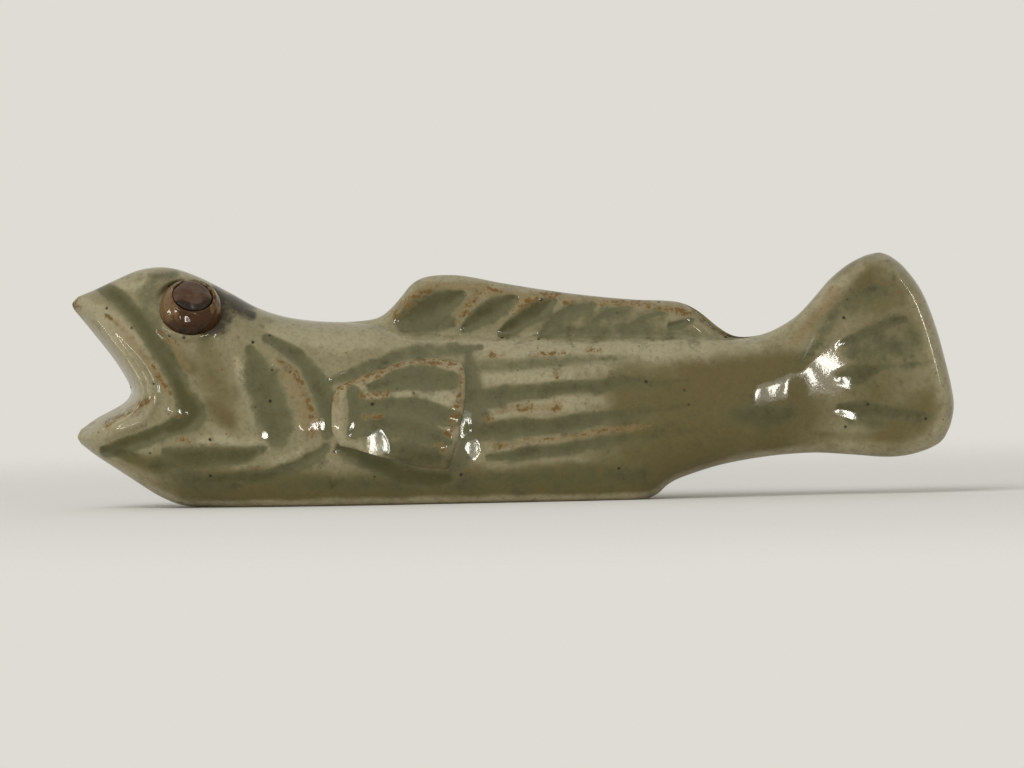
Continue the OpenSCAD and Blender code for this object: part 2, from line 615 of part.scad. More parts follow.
// Pupil: a thin disc with a slightly domed top
pupil_radius = hollow_radius - seat_gap;
pupil_steps = 5;
module pupil() {
    on_eye_seat() translate([0, 0, eye_height - pupil_hollow]) rotate_extrude($fn = roundness)
        polygon(concat(
            [[0, 0], [pupil_radius, 0]],
            [for (k = [0 : pupil_steps])
                let (a = 90 * k / pupil_steps)
                    [pupil_radius * cos(a), pupil_thickness - pupil_crown * (1 - sin(a))]]
        ));
}
module other_side() mirror([0, 1, 0]) children();

module body_left_half() color(celadon) side_half();
module body_right_half() color(celadon) other_side() side_half();
module pectoral_fin_left() color(celadon_light) side_fin();
module pectoral_fin_right() color(celadon_light) other_side() side_fin();
module eye_left() color(iron_amber) eye();
module eye_right() color(iron_amber) other_side() eye();
module pupil_left() color(iron_dark) pupil();
module pupil_right() color(iron_dark) other_side() pupil();

body_left_half();
body_right_half();
pectoral_fin_left();
pectoral_fin_right();
eye_left();
eye_right();
pupil_left();
pupil_right();
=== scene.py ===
"""Glazed stoneware chopstick rest in the shape of a fish, standing on its belly foot.

The head points to -X, the tail to +X and +Z is up. The left side faces -Y, and the right side mirrors
it about the plane y = 0. Lengths are in metres, and a share is a part of a whole, from 0 to 1.
"""

import math

import bpy
import numpy as np
from mathutils import Matrix, Vector


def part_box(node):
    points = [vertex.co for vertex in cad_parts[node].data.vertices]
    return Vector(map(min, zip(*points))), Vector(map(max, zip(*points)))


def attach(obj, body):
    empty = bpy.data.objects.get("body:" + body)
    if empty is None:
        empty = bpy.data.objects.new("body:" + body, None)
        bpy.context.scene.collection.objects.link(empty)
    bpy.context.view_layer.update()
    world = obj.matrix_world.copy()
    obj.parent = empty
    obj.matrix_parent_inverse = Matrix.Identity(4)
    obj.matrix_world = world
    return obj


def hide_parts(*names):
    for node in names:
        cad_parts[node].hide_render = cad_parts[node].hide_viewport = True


bl_info = {
    "name": "Fish Chopstick Rest",
    "version": (1, 0, 0),
    "blender": (4, 5, 0),
    "location": "3D View > Sidebar > Chopstick Rest",
    "description": "Builds a glazed, hand-carved fish that holds a chopstick across its back",
    "category": "Object",
}

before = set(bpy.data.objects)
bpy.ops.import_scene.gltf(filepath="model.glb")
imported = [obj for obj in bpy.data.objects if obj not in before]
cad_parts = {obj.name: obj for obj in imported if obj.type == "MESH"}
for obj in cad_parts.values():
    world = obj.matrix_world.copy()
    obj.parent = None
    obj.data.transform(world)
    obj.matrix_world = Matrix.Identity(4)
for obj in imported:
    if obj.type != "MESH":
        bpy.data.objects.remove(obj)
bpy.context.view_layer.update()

MM = 0.001
ROOT = "root"

# Side view of the fish, by thousandths of its length from the jaws and of its height from the foot
HEAD_BACK = [
    (7, 881), (26, 909), (53, 953), (75, 985), (98, 997), (120, 987), (149, 946), (182, 881),
    (210, 823), (240, 784), (272, 764), (307, 756),
]
DORSAL_EDGE = [
    (335, 761), (350, 775), (362, 808), (374, 855), (386, 906), (400, 933), (420, 942), (445, 937),
    (488, 905), (543, 869), (591, 844), (640, 825), (676, 818), (692, 808), (704, 785), (717, 735),
    (730, 694), (745, 667),
]
SADDLE = [(765, 660), (785, 673)]
TAIL_TOP = [
    (805, 704), (825, 752), (843, 820), (860, 890), (880, 949), (900, 987), (913, 999), (917, 1000),
]
TAIL_REAR = [
    (986, 219), (989.5, 234.5), (996, 285), (1000, 363), (997, 450), (991, 550), (981, 690),
    (966, 835), (947, 935), (932, 982), (921, 999), (917, 1000),
]
BELLY = [
    (7, 271), (22, 226), (50, 156), (75, 94), (92, 54), (106, 28), (120, 10), (138, 0), (160, 0),
    (620, 0), (644, 0), (656, 8), (664, 26), (671, 50), (682, 74), (700, 98), (730, 130),
    (765, 154), (802, 170), (840, 176), (880, 166), (920, 153), (945, 158), (968, 180), (982, 205),
    (986, 219),
]
UPPER_JAW_TIP = [(2, 828), (0, 852), (7, 881)]
LOWER_JAW_TIP = [(7, 271), (3, 300), (7, 329)]
UPPER_LIP = [(2, 828), (25, 722), (46, 620), (58, 550), (64, 505), (65, 479)]
LOWER_LIP = [(7, 329), (24, 373), (44, 411), (56, 436), (62, 457), (65, 479)]
MIDDLE_LINE = [(65, 479), (200, 470), (500, 450), (800, 450)]
DORSAL_ROOT = [(345, 742), (400, 708), (500, 694), (600, 684), (700, 672)]
TAIL_CREST = [(760, 656), (800, 665), (850, 740), (900, 780), (1000, 780)]
TAIL_KEEL = [(802, 170), (840, 176), (880, 190), (920, 220), (1000, 300)]
FIN_BASE = [(302, 250), (294, 309), (293, 384), (295, 450), (300, 491)]
FIN_TOP = [(300, 491), (332, 543), (377, 590), (410, 605), (442, 585)]
FIN_END = [(423, 146), (430, 200), (441, 349), (446, 514), (442, 585)]
FIN_LOW = [(302, 250), (323, 232), (373, 175), (400, 152), (423, 146)]
EYE_PLACE = (134.5, 820)

# Shares of the length at which the mouth and the gill end and the tail starts, and share of the rear
# edge at which the middle line meets it
MOUTH_SHARE, GILL_SHARE, TAIL_SHARE = 0.064, 0.31, 0.82
REAR_LOW_SHARE = 0.3

# Rounded core of the body: share of the length, then share of the thickness, height or foot width
HALF_THICKNESS_SHARES = [
    (0.0, 0.43), (0.05, 0.605), (0.1, 0.755), (0.14, 0.86), (0.2, 0.94), (0.25, 0.98), (0.3, 1.0),
    (0.36, 0.98), (0.45, 0.91), (0.55, 0.81), (0.65, 0.7), (0.72, 0.62), (0.77, 0.555),
    (0.79, 0.508), (0.804, 0.472), (0.812, 0.447), (0.834, 0.361), (0.845, 0.32), (0.857, 0.279),
    (0.873, 0.242), (0.9, 0.205), (0.93, 0.19), (1.0, 0.17),
]
AXIS_HEIGHT_SHARES = [
    (0.0, 0.44), (0.1, 0.39), (0.2, 0.31), (0.3, 0.235), (0.4, 0.215), (0.5, 0.225), (0.65, 0.29),
    (0.75, 0.37), (0.85, 0.44), (1.0, 0.5),
]
FOOT_HALF_SHARES = [
    (0.138, 0.0), (0.16, 0.42), (0.2, 0.72), (0.27, 0.95), (0.35, 1.0), (0.45, 0.96), (0.55, 0.86),
    (0.62, 0.72), (0.642, 0.56), (0.656, 0.0),
]
# Power of the curve of the body's cross-section, and power with which its core and its web melt together
FULLNESS, BLENDING = 2.3, 4
# Shares of the length over which the tail's thickness, its flare and its dish begin
TAIL_BEGINS, FLARE_BEGINS, DISH_BEGINS = (0.74, 0.86), (0.88, 0.94), (0.85, 0.91)
# Slope by which the tail thickens upwards, and the share of the height from which it does
FLARE_SLOPE, FLARE_LOW_SHARE = 0.035, 0.3
# Shares of the length over which the carving fades and comes back, and over which the hand's swells
# fade, and the shares of both that are lost there
GROOVES_END, GROOVES_RETURN, SWELL_ENDS = (0.57, 0.70), (0.80, 0.84), (0.70, 0.76)
GROOVES_LOST, SWELL_LOST = 0.7, 0.75
# Rounding of the core at the jaw tips, in edge roundings
TIP_ROUNDING = 1.4

# Carved strokes: share of the groove's depth, share of the glaze that pools in it, and its places by
# thousandths of the length and of the height and per cent of the groove's width
CARVED_STROKES = [
    # Jaws
    (0.45, 0.95, [
        (33, 930, 80), (51, 884, 100), (70, 807, 110), (89, 727, 120), (102, 648, 130),
        (115, 570, 120), (125, 484, 120), (134, 417, 150),
    ]),
    (0.45, 1.0, [
        (137, 378, 160), (116, 342, 110), (95, 310, 100), (74, 283, 100), (53, 255, 100),
        (35, 238, 70),
    ]),
    (0.7, 0.7, [
        (105, 226, 80), (126, 220, 130), (149, 211, 150), (176, 214, 130), (202, 231, 90),
        (217, 244, 40),
    ]),
    (0.8, 0.75, [
        (152, 115, 50), (183, 127, 70), (209, 125, 80), (233, 143, 80), (256, 175, 90),
        (275, 211, 80), (287, 244, 60),
    ]),
    # Gill
    (0.8, 0.8, [
        (203, 650, 80), (211, 573, 150), (218, 496, 210), (224, 420, 230), (229, 353, 220),
        (232, 286, 140),
    ]),
    (0.75, 0.8, [
        (222, 695, 60), (246, 646, 90), (266, 580, 110), (280, 505, 120), (288, 435, 130),
        (291, 368, 130), (290, 310, 100),
    ]),
    # Above and below the side fin
    (0.8, 0.62, [
        (295, 516, 60), (323, 552, 80), (351, 590, 90), (380, 622, 100), (410, 635, 100),
        (438, 636, 90), (462, 638, 50),
    ]),
    (1.0, 1.0, [
        (302, 236, 50), (324, 200, 100), (350, 160, 120), (378, 124, 130), (403, 108, 110),
        (424, 104, 70),
    ]),
    # Flank
    (0.6, 0.45, [
        (461, 567, 60), (484, 563, 90), (507, 569, 90), (531, 576, 90), (554, 583, 80),
        (577, 587, 80), (600, 588, 60), (650, 587, 30),
    ]),
    (0.6, 0.8, [
        (457, 437, 120), (472, 439, 140), (507, 451, 110), (530, 460, 100), (553, 469, 90),
        (577, 473, 90), (600, 477, 90), (650, 480, 80), (700, 478, 40),
    ]),
    (0.6, 0.85, [
        (455, 289, 120), (471, 298, 130), (506, 303, 130), (529, 309, 110), (553, 321, 100),
        (576, 330, 100), (599, 341, 100), (640, 356, 90), (700, 375, 50),
    ]),
    (0.6, 0.75, [
        (470, 190, 40), (505, 199, 80), (552, 217, 90), (598, 239, 90), (645, 253, 80),
        (710, 275, 50),
    ]),
    # Dorsal fin
    (1.0, 0.95, [
        (372, 757, 70), (388, 785, 160), (407, 805, 190), (425, 834, 140), (443, 862, 50),
    ]),
    (0.5, 0.6, [(376, 728, 80), (404, 735, 130), (430, 750, 90)]),
    (1.0, 0.9, [(444, 716, 30), (458, 752, 120), (474, 785, 140), (490, 816, 120), (504, 842, 50)]),
    (1.0, 1.0, [(485, 694, 25), (501, 724, 100), (519, 765, 120), (532, 798, 120), (546, 825, 50)]),
    (1.0, 0.6, [(532, 691, 30), (547, 732, 130), (566, 773, 140), (583, 797, 100), (595, 808, 40)]),
    (1.0, 0.5, [(588, 721, 110), (604, 753, 150), (621, 778, 120), (637, 795, 50)]),
    (1.0, 0.45, [(630, 709, 110), (645, 734, 150), (660, 754, 130), (674, 768, 60)]),
    (0.6, 0.9, [(681, 714, 40), (692, 722, 50), (703, 733, 30)]),
    (0.8, 0.45, [
        (522, 681, 15), (554, 685, 90), (589, 687, 110), (636, 684, 110), (682, 681, 100),
        (712, 676, 80), (732, 664, 40),
    ]),
    # Tail
    (0.5, 0.45, [(822, 530, 40), (843, 632, 90), (859, 710, 110), (872, 773, 80), (881, 820, 40)]),
    (0.25, 0.5, [(883, 770, 70), (897, 808, 120), (912, 834, 120), (923, 855, 50)]),
    (0.35, 0.7, [(874, 625, 50), (891, 650, 70), (911, 683, 80), (929, 706, 60), (946, 724, 30)]),
    (0.3, 0.85, [(872, 491, 80), (888, 496, 140), (908, 509, 60)]),
    (0.2, 0.45, [(898, 512, 60), (926, 527, 60), (947, 537, 50), (972, 544, 30)]),
    (0.35, 0.8, [(868, 360, 60), (890, 350, 120), (912, 345, 100), (935, 340, 70), (970, 326, 30)]),
]
# Strokes at their full share, by places of the same kind, with the raised edge of the gill first
GILL_EDGE_STROKES = [
    [(231, 600, 70), (247, 541, 90), (257, 469, 120), (262, 394, 130), (266, 315, 120)],
]
# Hollow that runs round the front of an eye
SOCKET_STROKES = [
    [(118, 966, 60), (100, 945, 90), (88, 890, 110), (87, 825, 110), (96, 770, 80)],
]
# Moat behind a side fin
MOAT_STROKES = [
    [
        (449, 600, 50), (453, 530, 90), (456, 430, 120), (454, 349, 130), (450, 281, 120),
        (442, 214, 100), (430, 147, 70),
    ],
]
# Grooves between the rays of a side fin
RAY_STROKES = [
    [(317, 473, 80), (324, 415, 110), (324, 348, 110), (319, 300, 70)],
    [(340, 490, 60), (370, 512, 120), (402, 520, 140), (430, 508, 100)],
    [(338, 410, 80), (367, 408, 100), (401, 389, 120), (434, 349, 80)],
    [(330, 330, 90), (361, 326, 120), (395, 303, 130), (421, 270, 80)],
    [(357, 238, 90), (383, 216, 110), (409, 196, 80)],
]
GROOVE_DEPTHS = [(depth, places) for depth, pool, places in CARVED_STROKES]
GROOVE_POOLS = [(pool, places) for depth, pool, places in CARVED_STROKES]
# Depth of the hollow round an eye, in groove depths, and straight steps between two places of a stroke
SOCKET_DEPTH, STROKE_STEPS = 0.5, 8
# Small lumps that the fingers left: place in thousandths, radius and height in millimetres
LUMPS = [(263, 314, 0.8, 0.11), (287, 280, 0.8, 0.11), (298, 276, 0.8, 0.11)]
FIN_LUMPS = [(428, 262, 0.7, 0.08)]
# Smooth places where the glaze lies like a drop: place in thousandths, reach in millimetres, degrees
# that it faces to the right and upwards, and radius of its curve in millimetres
BODY_DROPS = [
    (120.5, 404, 1.0, 11.5, 2.5, 9), (216.5, 299, 1.1, 11.5, 2.5, 11), (451, 229, 1.9, 11.5, 2.5, 20),
]
FIN_DROPS = [(343, 255, 2.5, 11.5, 2.5, 26)]
EYE_DROPS = [(131, 783, 0.8, 11.5, 2.5, 7), (111.5, 815, 0.5, -25, 1.4, 7)]
# Swells that the hand left: share of their height, size in millimetres and seed, each of several waves
SWELLS = ((1.0, 11, 3), (0.5, 4, 5), (0.12, 1.8, 7))
HAND_WAVES = 7
# Beads along the lips: distance from the mouth, its growth towards the corner, and half width, in
# millimetres
LIP_BEADS = ((1.2, 0.1, 0.55), (1.95, 0.7, 0.65))
# Shares of the beads' height at the jaw tips and at the corner of the mouth, and the shares of the
# length over which they grow and over which they spread
BEAD_HEIGHTS, BEAD_GROWS, BEAD_SPREADS = (0.6, 2.6), (0.02, 0.085), (0.04, 0.1)

# Painted strokes at their full share, by places of the same kind: rust on the body and on a side fin
RUST_STROKES = [
    [(1, 865, 120), (5, 832, 100)],
    [(40, 804, 50), (50, 774, 40)],
    [(90, 600, 50), (100, 540, 80), (112, 480, 60)],
    [(100, 740, 60), (110, 700, 80), (120, 680, 40)],
    [(37, 356, 90), (48, 378, 80), (63, 400, 50), (78, 440, 90), (90, 462, 60)],
    [(118, 284, 60), (128, 290, 70)],
    [
        (232, 600, 60), (245, 580, 60), (258, 522, 80), (266, 455, 90), (272, 388, 100),
        (275, 321, 140),
    ],
    [(365, 769, 90), (374, 810, 120), (384, 838, 120), (397, 862, 90), (412, 880, 60)],
    [(438, 760, 90), (448, 801, 110), (458, 846, 110), (468, 870, 80), (490, 868, 60)],
    [(503, 786, 90), (512, 815, 110), (524, 843, 110)],
    [(534, 846, 90), (552, 852, 90)],
    [(558, 805, 60), (566, 820, 70)],
    [(602, 806, 60), (617, 813, 80)],
    [(625, 808, 90), (642, 816, 90), (655, 806, 70)],
    [(668, 790, 70), (680, 786, 70), (700, 762, 70)],
    [(474, 607, 60), (490, 606, 50)],
    [(520, 611, 50), (538, 613, 60), (560, 616, 30)],
    [(548, 532, 80), (550, 507, 60)],
    [(506, 387, 90), (518, 393, 90)],
    [(544, 380, 70), (550, 388, 90)],
    [(476, 238, 70), (489, 245, 80)],
    [(509, 255, 25), (549, 270, 35), (594, 286, 60), (615, 295, 65), (655, 307, 30)],
    [(466, 347, 70), (474, 352, 60)],
    [(586, 623, 60), (598, 626, 60)],
    [(115, 392, 40), (121, 380, 40)],
]
FIN_RUST_STROKES = [
    [(297, 440, 70), (299, 480, 80), (312, 503, 60)],
    [(317, 517, 80), (336, 541, 100), (357, 564, 90)],
    [(363, 574, 50), (385, 586, 60), (411, 590, 70), (433, 578, 70)],
    [(329, 457, 70), (345, 460, 110), (360, 462, 50)],
    [(441, 550, 50), (440, 480, 60), (438, 404, 60)],
    [(436, 404, 80), (431, 340, 130), (424, 300, 120)],
    [(413, 250, 80), (419, 225, 90)],
    [(330, 372, 60), (350, 370, 60)],
]
# Tan bloom beside the rust
TAN_STROKES = [
    [(238, 575, 60), (247, 530, 110), (256, 465, 140), (262, 398, 140), (268, 331, 120)],
    [(50, 780, 60), (80, 640, 80), (106, 500, 100)],
    [(370, 800, 70), (395, 870, 90), (430, 895, 70), (470, 885, 70)],
    [(440, 770, 70), (462, 850, 80), (530, 850, 60), (600, 820, 60), (690, 790, 80)],
    [(504, 780, 70), (524, 838, 70)],
    [(480, 385, 60), (550, 395, 70)],
    [(480, 240, 60), (560, 268, 70), (640, 298, 60)],
    [(100, 700, 50), (115, 650, 80), (132, 590, 50)],
    [(820, 640, 70), (845, 740, 110), (865, 840, 90)],
]
# Dark glaze that ran from an eye
SMEAR_STROKES = [
    [(160, 900, 60), (172, 865, 110), (176, 810, 120), (169, 760, 100), (152, 722, 60)],
    [(180, 862, 70), (190, 838, 100), (198, 812, 100), (206, 788, 50)],
]
# Painted strokes that have a share of their own, given first: glaze that lies thick, brownish green
OLIVE_STROKES = [
    (0.55, [(150, 700, 60), (155, 600, 120), (160, 500, 150), (170, 420, 130), (180, 350, 80)]),
    (0.5, [(153, 440, 40), (163, 390, 70), (178, 360, 50)]),
    (0.9, [(120, 520, 40), (128, 450, 60), (136, 395, 60), (110, 330, 40)]),
    (0.9, [(50, 235, 40), (90, 190, 60), (140, 215, 80), (200, 222, 50)]),
    (0.8, [(330, 180, 60), (380, 120, 80), (430, 110, 50)]),
    (0.7, [(105, 690, 50), (118, 640, 70), (134, 580, 50)]),
    (0.5, [(455, 300, 60), (530, 310, 60), (630, 355, 60)]),
    (0.6, [(530, 460, 40), (600, 476, 50), (650, 480, 50)]),
    (0.5, [(480, 190, 50), (560, 220, 50), (650, 255, 60)]),
    (0.9, [(840, 260, 50), (890, 235, 70), (935, 245, 50)]),
]
# Green that has run together over smooth places
GREEN_STROKES = [
    (0.6, [(92, 185, 50), (118, 150, 80), (150, 118, 70), (180, 100, 50)]),
    (0.55, [(885, 590, 60), (905, 604, 110), (930, 630, 130), (955, 640, 100), (968, 616, 50)]),
    (0.6, [(750, 350, 50), (785, 330, 80), (815, 350, 50)]),
    (0.55, [(880, 330, 60), (910, 310, 70)]),
    (0.45, [(240, 100, 50), (400, 90, 70), (560, 100, 80), (640, 110, 70)]),
    (0.45, [(345, 300, 60), (390, 250, 90), (415, 230, 60)]),
    (0.35, [(150, 930, 40), (120, 935, 50), (100, 900, 40)]),
    (0.9, [(538, 728, 14), (552, 766, 22), (569, 792, 24), (589, 805, 12)]),
    (0.85, [(592, 740, 14), (606, 768, 22), (623, 788, 20), (636, 796, 8)]),
    (0.8, [(635, 724, 12), (648, 748, 20), (662, 764, 18), (674, 770, 8)]),
]
# Thin glaze on ridges and crests
THIN_STROKES = [
    (0.9, [(230, 730, 60), (300, 700, 120), (380, 675, 70)]),
    (0.9, [(20, 850, 40), (45, 795, 50), (70, 700, 50), (92, 600, 50)]),
    (0.9, [(55, 925, 30), (85, 930, 40), (108, 955, 40)]),
    (0.8, [(845, 790, 40), (868, 870, 60), (895, 940, 60)]),
    (0.9, [(400, 672, 60), (473, 648, 80), (560, 636, 90), (670, 622, 110), (770, 612, 100)]),
    (0.9, [(335, 448, 50), (380, 460, 60), (430, 440, 60)]),
    (0.6, [(330, 365, 30), (380, 360, 40), (430, 320, 30)]),
    (0.7, [(440, 765, 30), (455, 820, 40), (470, 862, 40)]),
    (0.7, [(500, 780, 25), (515, 820, 30), (530, 850, 30)]),
    (0.5, [(545, 780, 20), (560, 812, 25)]),
    (0.7, [(555, 840, 20), (600, 825, 25), (640, 815, 25), (690, 800, 25)]),
    (0.75, [(468, 509, 50), (554, 528, 70), (623, 532, 60)]),
    (0.7, [(472, 375, 50), (541, 402, 70), (604, 425, 60)]),
    (0.6, [(478, 241, 40), (552, 265, 50), (622, 294, 50), (692, 318, 40)]),
    (0.5, [(470, 153, 30), (560, 170, 40), (640, 200, 40)]),
    (0.4, [(880, 705, 30), (920, 735, 50), (950, 760, 30)]),
    (0.5, [(885, 410, 40), (930, 420, 60), (975, 430, 50)]),
    (0.6, [(185, 620, 40), (195, 540, 50), (203, 460, 50), (208, 360, 40)]),
    (0.7, [(145, 275, 40), (180, 275, 50), (225, 265, 40)]),
    (0.6, [(180, 165, 30), (220, 175, 40), (255, 225, 40)]),
    (0.6, [(45, 205, 30), (90, 262, 30)]),
]
# Full widths of the painted strokes
THIN_WIDTH, OLIVE_WIDTH, GREEN_WIDTH = 4.0 * MM, 4.5 * MM, 5.5 * MM
RUST_WIDTH, TAN_WIDTH, SMEAR_WIDTH = 2.0 * MM, 2.6 * MM, 2.7 * MM
# Where the painted shade in a pool is read, which draws it higher in its groove, to the upper edge that
# the ridge above shades
POOL_SHADE_SHIFT = (0.2 * MM, -0.25 * MM)
# Shares of the length over which the glaze changes on the tail, on its rim and on its rear edge
TAIL_GLAZE, TAIL_RIM_GLAZE, REAR_GLAZE = (0.78, 0.88), (0.78, 0.86), (0.93, 0.96)
# Shares over which zones of the glaze end at their top or low edge, front or rear: the thick glaze of
# the belly, the thin band over the foot, the flank, and the upper lobe of the tail
BELLY_TOP, BELLY_FRONT, BELLY_REAR = (0.08, 0.22), (0.07, 0.14), (0.68, 0.78)
BAND_TOP, BAND_FRONT, BAND_REAR = (0.015, 0.05), (0.12, 0.16), (0.64, 0.68)
FLANK_TOP, FLANK_REAR = (0.60, 0.65), (0.50, 0.71)
LOBE_LOW, LOBE_FRONT = (0.72, 0.80), (0.82, 0.84)
# Coats of the celadon in their order: painted value, colour, pattern and its spread, and the painted
# values at which the coat starts and is full, with its greatest share
CELADON_COATS = [
    ("thin", "cream", "mottle", 2.4, -0.1, 0.75, 1.0),
    ("olive", "olive", "cloud", 1.4, 0.05, 0.9, 1.0),
    ("tan", "tan", "mottle", 2.6, 0.25, 1.1, 0.6),
    ("pool", "green", "mottle", 1.1, 0.1, 0.6, 0.93),
    # The deep coat: thick glaze in the pools, and painted shade along the grooves' upper edges
    ("deep_and_shade", "deep_and_shade", "mottle", 1.1, 0.05, 0.95, 0.85),
    ("smear", "smear", "mottle", 2.4, 0.1, 1.0, 0.95),
    ("rust", "tan", "crust", 3.0, 0.25, 1.15, 0.65),
    ("rust", "rust", "crust", 3.6, 0.8, 1.2, 0.9),
]

# Columns of the body's mesh in all, and up to the mouth's corner, the gill and the tail, its rows, and
# how strongly both crowd at the rims, at the jaw tips and at the rear
COLUMNS, MOUTH_COLUMNS, GILL_COLUMNS, TAIL_COLUMNS = 425, 44, 176, 366
UNDER_ROWS, LOW_ROWS, HIGH_ROWS = 6, 42, 63
CROWDING, TIP_CROWDING, REAR_CROWDING = 0.85, 1.5, 1.4
# Columns and rows of a side fin's mesh
FAN_COLUMNS, FAN_ROWS = 110, 92
# Points that are measured together, which keeps the memory small
POINTS_AT_ONCE = 2000

# Rolled rim of an eye: steps outwards from the crown and up from the eye's height, in millimetres
EYE_RIM_STEPS = ((-0.25, -0.36), (-0.18, -0.2), (-0.09, -0.08), (0.0, -0.03), (0.09, -0.06), (0.2, -0.16))
# Degrees over the seat of the places down the wall of an eye
EYE_WALL_ANGLES = (39, 33, 26, 19, 12, 4, -4, -13, -22, -32)
# Pupil from its top round to its underside: share of its radius, and height over the hollow's floor in
# millimetres
PUPIL_DOME = (
    (0, 1.0), (0.3, 0.98), (0.55, 0.91), (0.76, 0.80), (0.9, 0.67), (0.97, 0.56), (1, 0.45), (0.98, 0.2),
    (0.8, 0.0), (0, 0.0),
)

# Windows a metre away: degrees to the right of the front, height of the middle, width and height in
# metres, and share of the power
WINDOWS = {
    "window_pane_left": (20, 0.070, 0.045, 0.13, 1.0),
    "window_pane_right": (26, 0.070, 0.045, 0.13, 1.0),
    "side_strip": (-50, 0.040, 0.47, 0.045, 2.4),
    "curtain": (24, 0.09, 0.17, 0.24, 0.5),
}
LAMP_TARGET = (0, 0, 10 * MM)
# Distances from the middle, in millimetres, between which the paper fades
FLOOR_FADE = (60, 190)
# Point of the fish at the middle of the picture, and width of the camera's sensor in millimetres
PICTURE_MIDDLE = (-0.17 * MM, 0, 11.44 * MM)
SENSOR_WIDTH = 36.0


def between(a, b, t):
    return a + (b - a) * t


def ease(x, low, high):
    """0 below low, 1 above high, and smooth between them."""
    t = np.clip((x - low) / (high - low), 0, 1)
    return t * t * (3 - 2 * t)


def on_curve(rows, x):
    """Values at x of the smooth curve through rows of position and values."""
    rows = np.asarray(rows, float)
    x = np.asarray(x, float)
    at, values = rows[:, 0], rows[:, 1:]
    number = np.arange(len(at))
    before, after = np.maximum(number - 1, 0), np.minimum(number + 1, len(at) - 1)
    slopes = (values[after] - values[before]) / (at[after] - at[before])[:, None]
    k = np.clip(np.searchsorted(at, x, side="right") - 1, 0, len(at) - 2)
    gap = at[k + 1] - at[k]
    t = np.clip((x - at[k]) / gap, 0, 1)
    rise = (t * t * (3 - 2 * t))[:, None]
    bend = (gap * t * (1 - t))[:, None]
    turn = slopes[k] * (1 - t)[:, None] - slopes[k + 1] * t[:, None]
    return between(values[k], values[k + 1], rise) + bend * turn


def rounding(distance, width):
    """Quarter-round that rises from 0 at an edge to 1 at the distance width."""
    t = 1 - np.clip(distance / width, 0, 1)
    return np.sqrt(1 - t * t)


def rows_by_run(points):
    """Rows of a curve by the share of its length from its start."""
    points = np.asarray(points, float)
    run = np.concatenate(([0], np.cumsum(np.linalg.norm(np.diff(points, axis=0), axis=1))))
    return np.column_stack((run / run[-1], points))


def rows_by_x(points):
    return np.column_stack((points[:, 0], points))


def along_x(rows, t):
    return on_curve(rows, between(rows[0][0], rows[-1][0], t))


def distance_to(line, points, within=0.003):
    """Distance of each point from a line of close points, or within where it is farther."""
    result = np.full(len(points), within)
    near = np.ones(len(points), bool)
    for axis in (0, 1):
        low, high = line[:, axis].min() - within, line[:, axis].max() + within
        near &= (points[:, axis] > low) & (points[:, axis] < high)
    chosen = np.flatnonzero(near)
    for start in range(0, len(chosen), POINTS_AT_ONCE):
        part = chosen[start:start + POINTS_AT_ONCE]
        p = points[part]
        k = ((p[:, None, :] - line[None, :, :]) ** 2).sum(2).argmin(1)
        best = np.full(len(part), np.inf)
        for first in (np.maximum(k - 1, 0), np.minimum(k, len(line) - 2)):
            a, run = line[first], line[first + 1] - line[first]
            t = np.clip(((p - a) * run).sum(1) / (run * run).sum(1), 0, 1)
            best = np.minimum(best, np.linalg.norm(p - a - t[:, None] * run, axis=1))
        result[part] = np.minimum(best, within)
    return result


def uneven(points, size, seed):
    """Slow swell from -1 to 1 over points, as left by a hand, with waves about size long."""
    draw = np.random.default_rng(seed)
    total = np.zeros(len(points))
    for _ in range(HAND_WAVES):
        turn, phase = draw.uniform(0, 2 * math.pi, 2)
        length = size * draw.uniform(0.7, 1.4)
        along = points[:, 0] * math.cos(turn) + points[:, 1] * math.sin(turn)
        total += np.sin(2 * math.pi / length * along + phase)
    return total / math.sqrt(HAND_WAVES * 2)


def linear(hex_colour):
    """sRGB hex colour as linear red, green and blue."""
    values = [int(hex_colour[k:k + 2], 16) / 255 for k in (1, 3, 5)]
    return tuple(v / 12.92 if v <= 0.04045 else ((v + 0.055) / 1.055) ** 2.4 for v in values)


def measure(name, text, metres):
    return bpy.props.FloatProperty(name=name, description=text, default=metres, unit="LENGTH")


def slant(name, text, degrees):
    return bpy.props.FloatProperty(
        name=name, description=text, default=math.radians(degrees), subtype="ANGLE")


def power(name, text, watts):
    return bpy.props.FloatProperty(name=name, description=text, default=watts, unit="POWER")


def colour(name, text, hex_colour):
    return bpy.props.FloatVectorProperty(
        name=name, description=text, default=linear(hex_colour), size=3, min=0, max=1, subtype="COLOR")


BODY_LOW, BODY_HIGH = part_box("body_left_half")


class FishSizes(bpy.types.PropertyGroup):
    """Overall sizes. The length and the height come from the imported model."""

    length: measure("Length", "From the jaw tips to the rear edge of the tail", BODY_HIGH.x - BODY_LOW.x)
    height: measure("Height", "From the foot to the top of the tail", BODY_HIGH.z)
    thickness: measure("Thickness", "Across the gills, without the side fins", 13.2 * MM)
    foot_width: measure("Foot width", "Widest place of the flat foot", 9.4 * MM)
    foot_round: measure("Foot edge", "Rounding between the foot and the wall", 0.55 * MM)
    dorsal_thickness: measure("Dorsal fin", "Thickness of the dorsal fin", 2.8 * MM)
    tail_thickness: measure("Tail", "Thickness of the tail inside its rim", 3.6 * MM)
    tail_dish: measure("Tail dish", "Depth between the tail's middle and its rim", 0.3 * MM)
    tail_rim: measure("Tail rim", "Width of the rim round the tail's dish", 2.2 * MM)
    edge_round: measure("Edge rounding", "Rounding of the fin's and the tail's edges", 1.3 * MM)
    lip_round: measure("Lip rounding", "Rounding from the lips into the mouth", 1.3 * MM)
    fin_height: measure("Side fin", "Height of a side fin over the flank", 1.1 * MM)


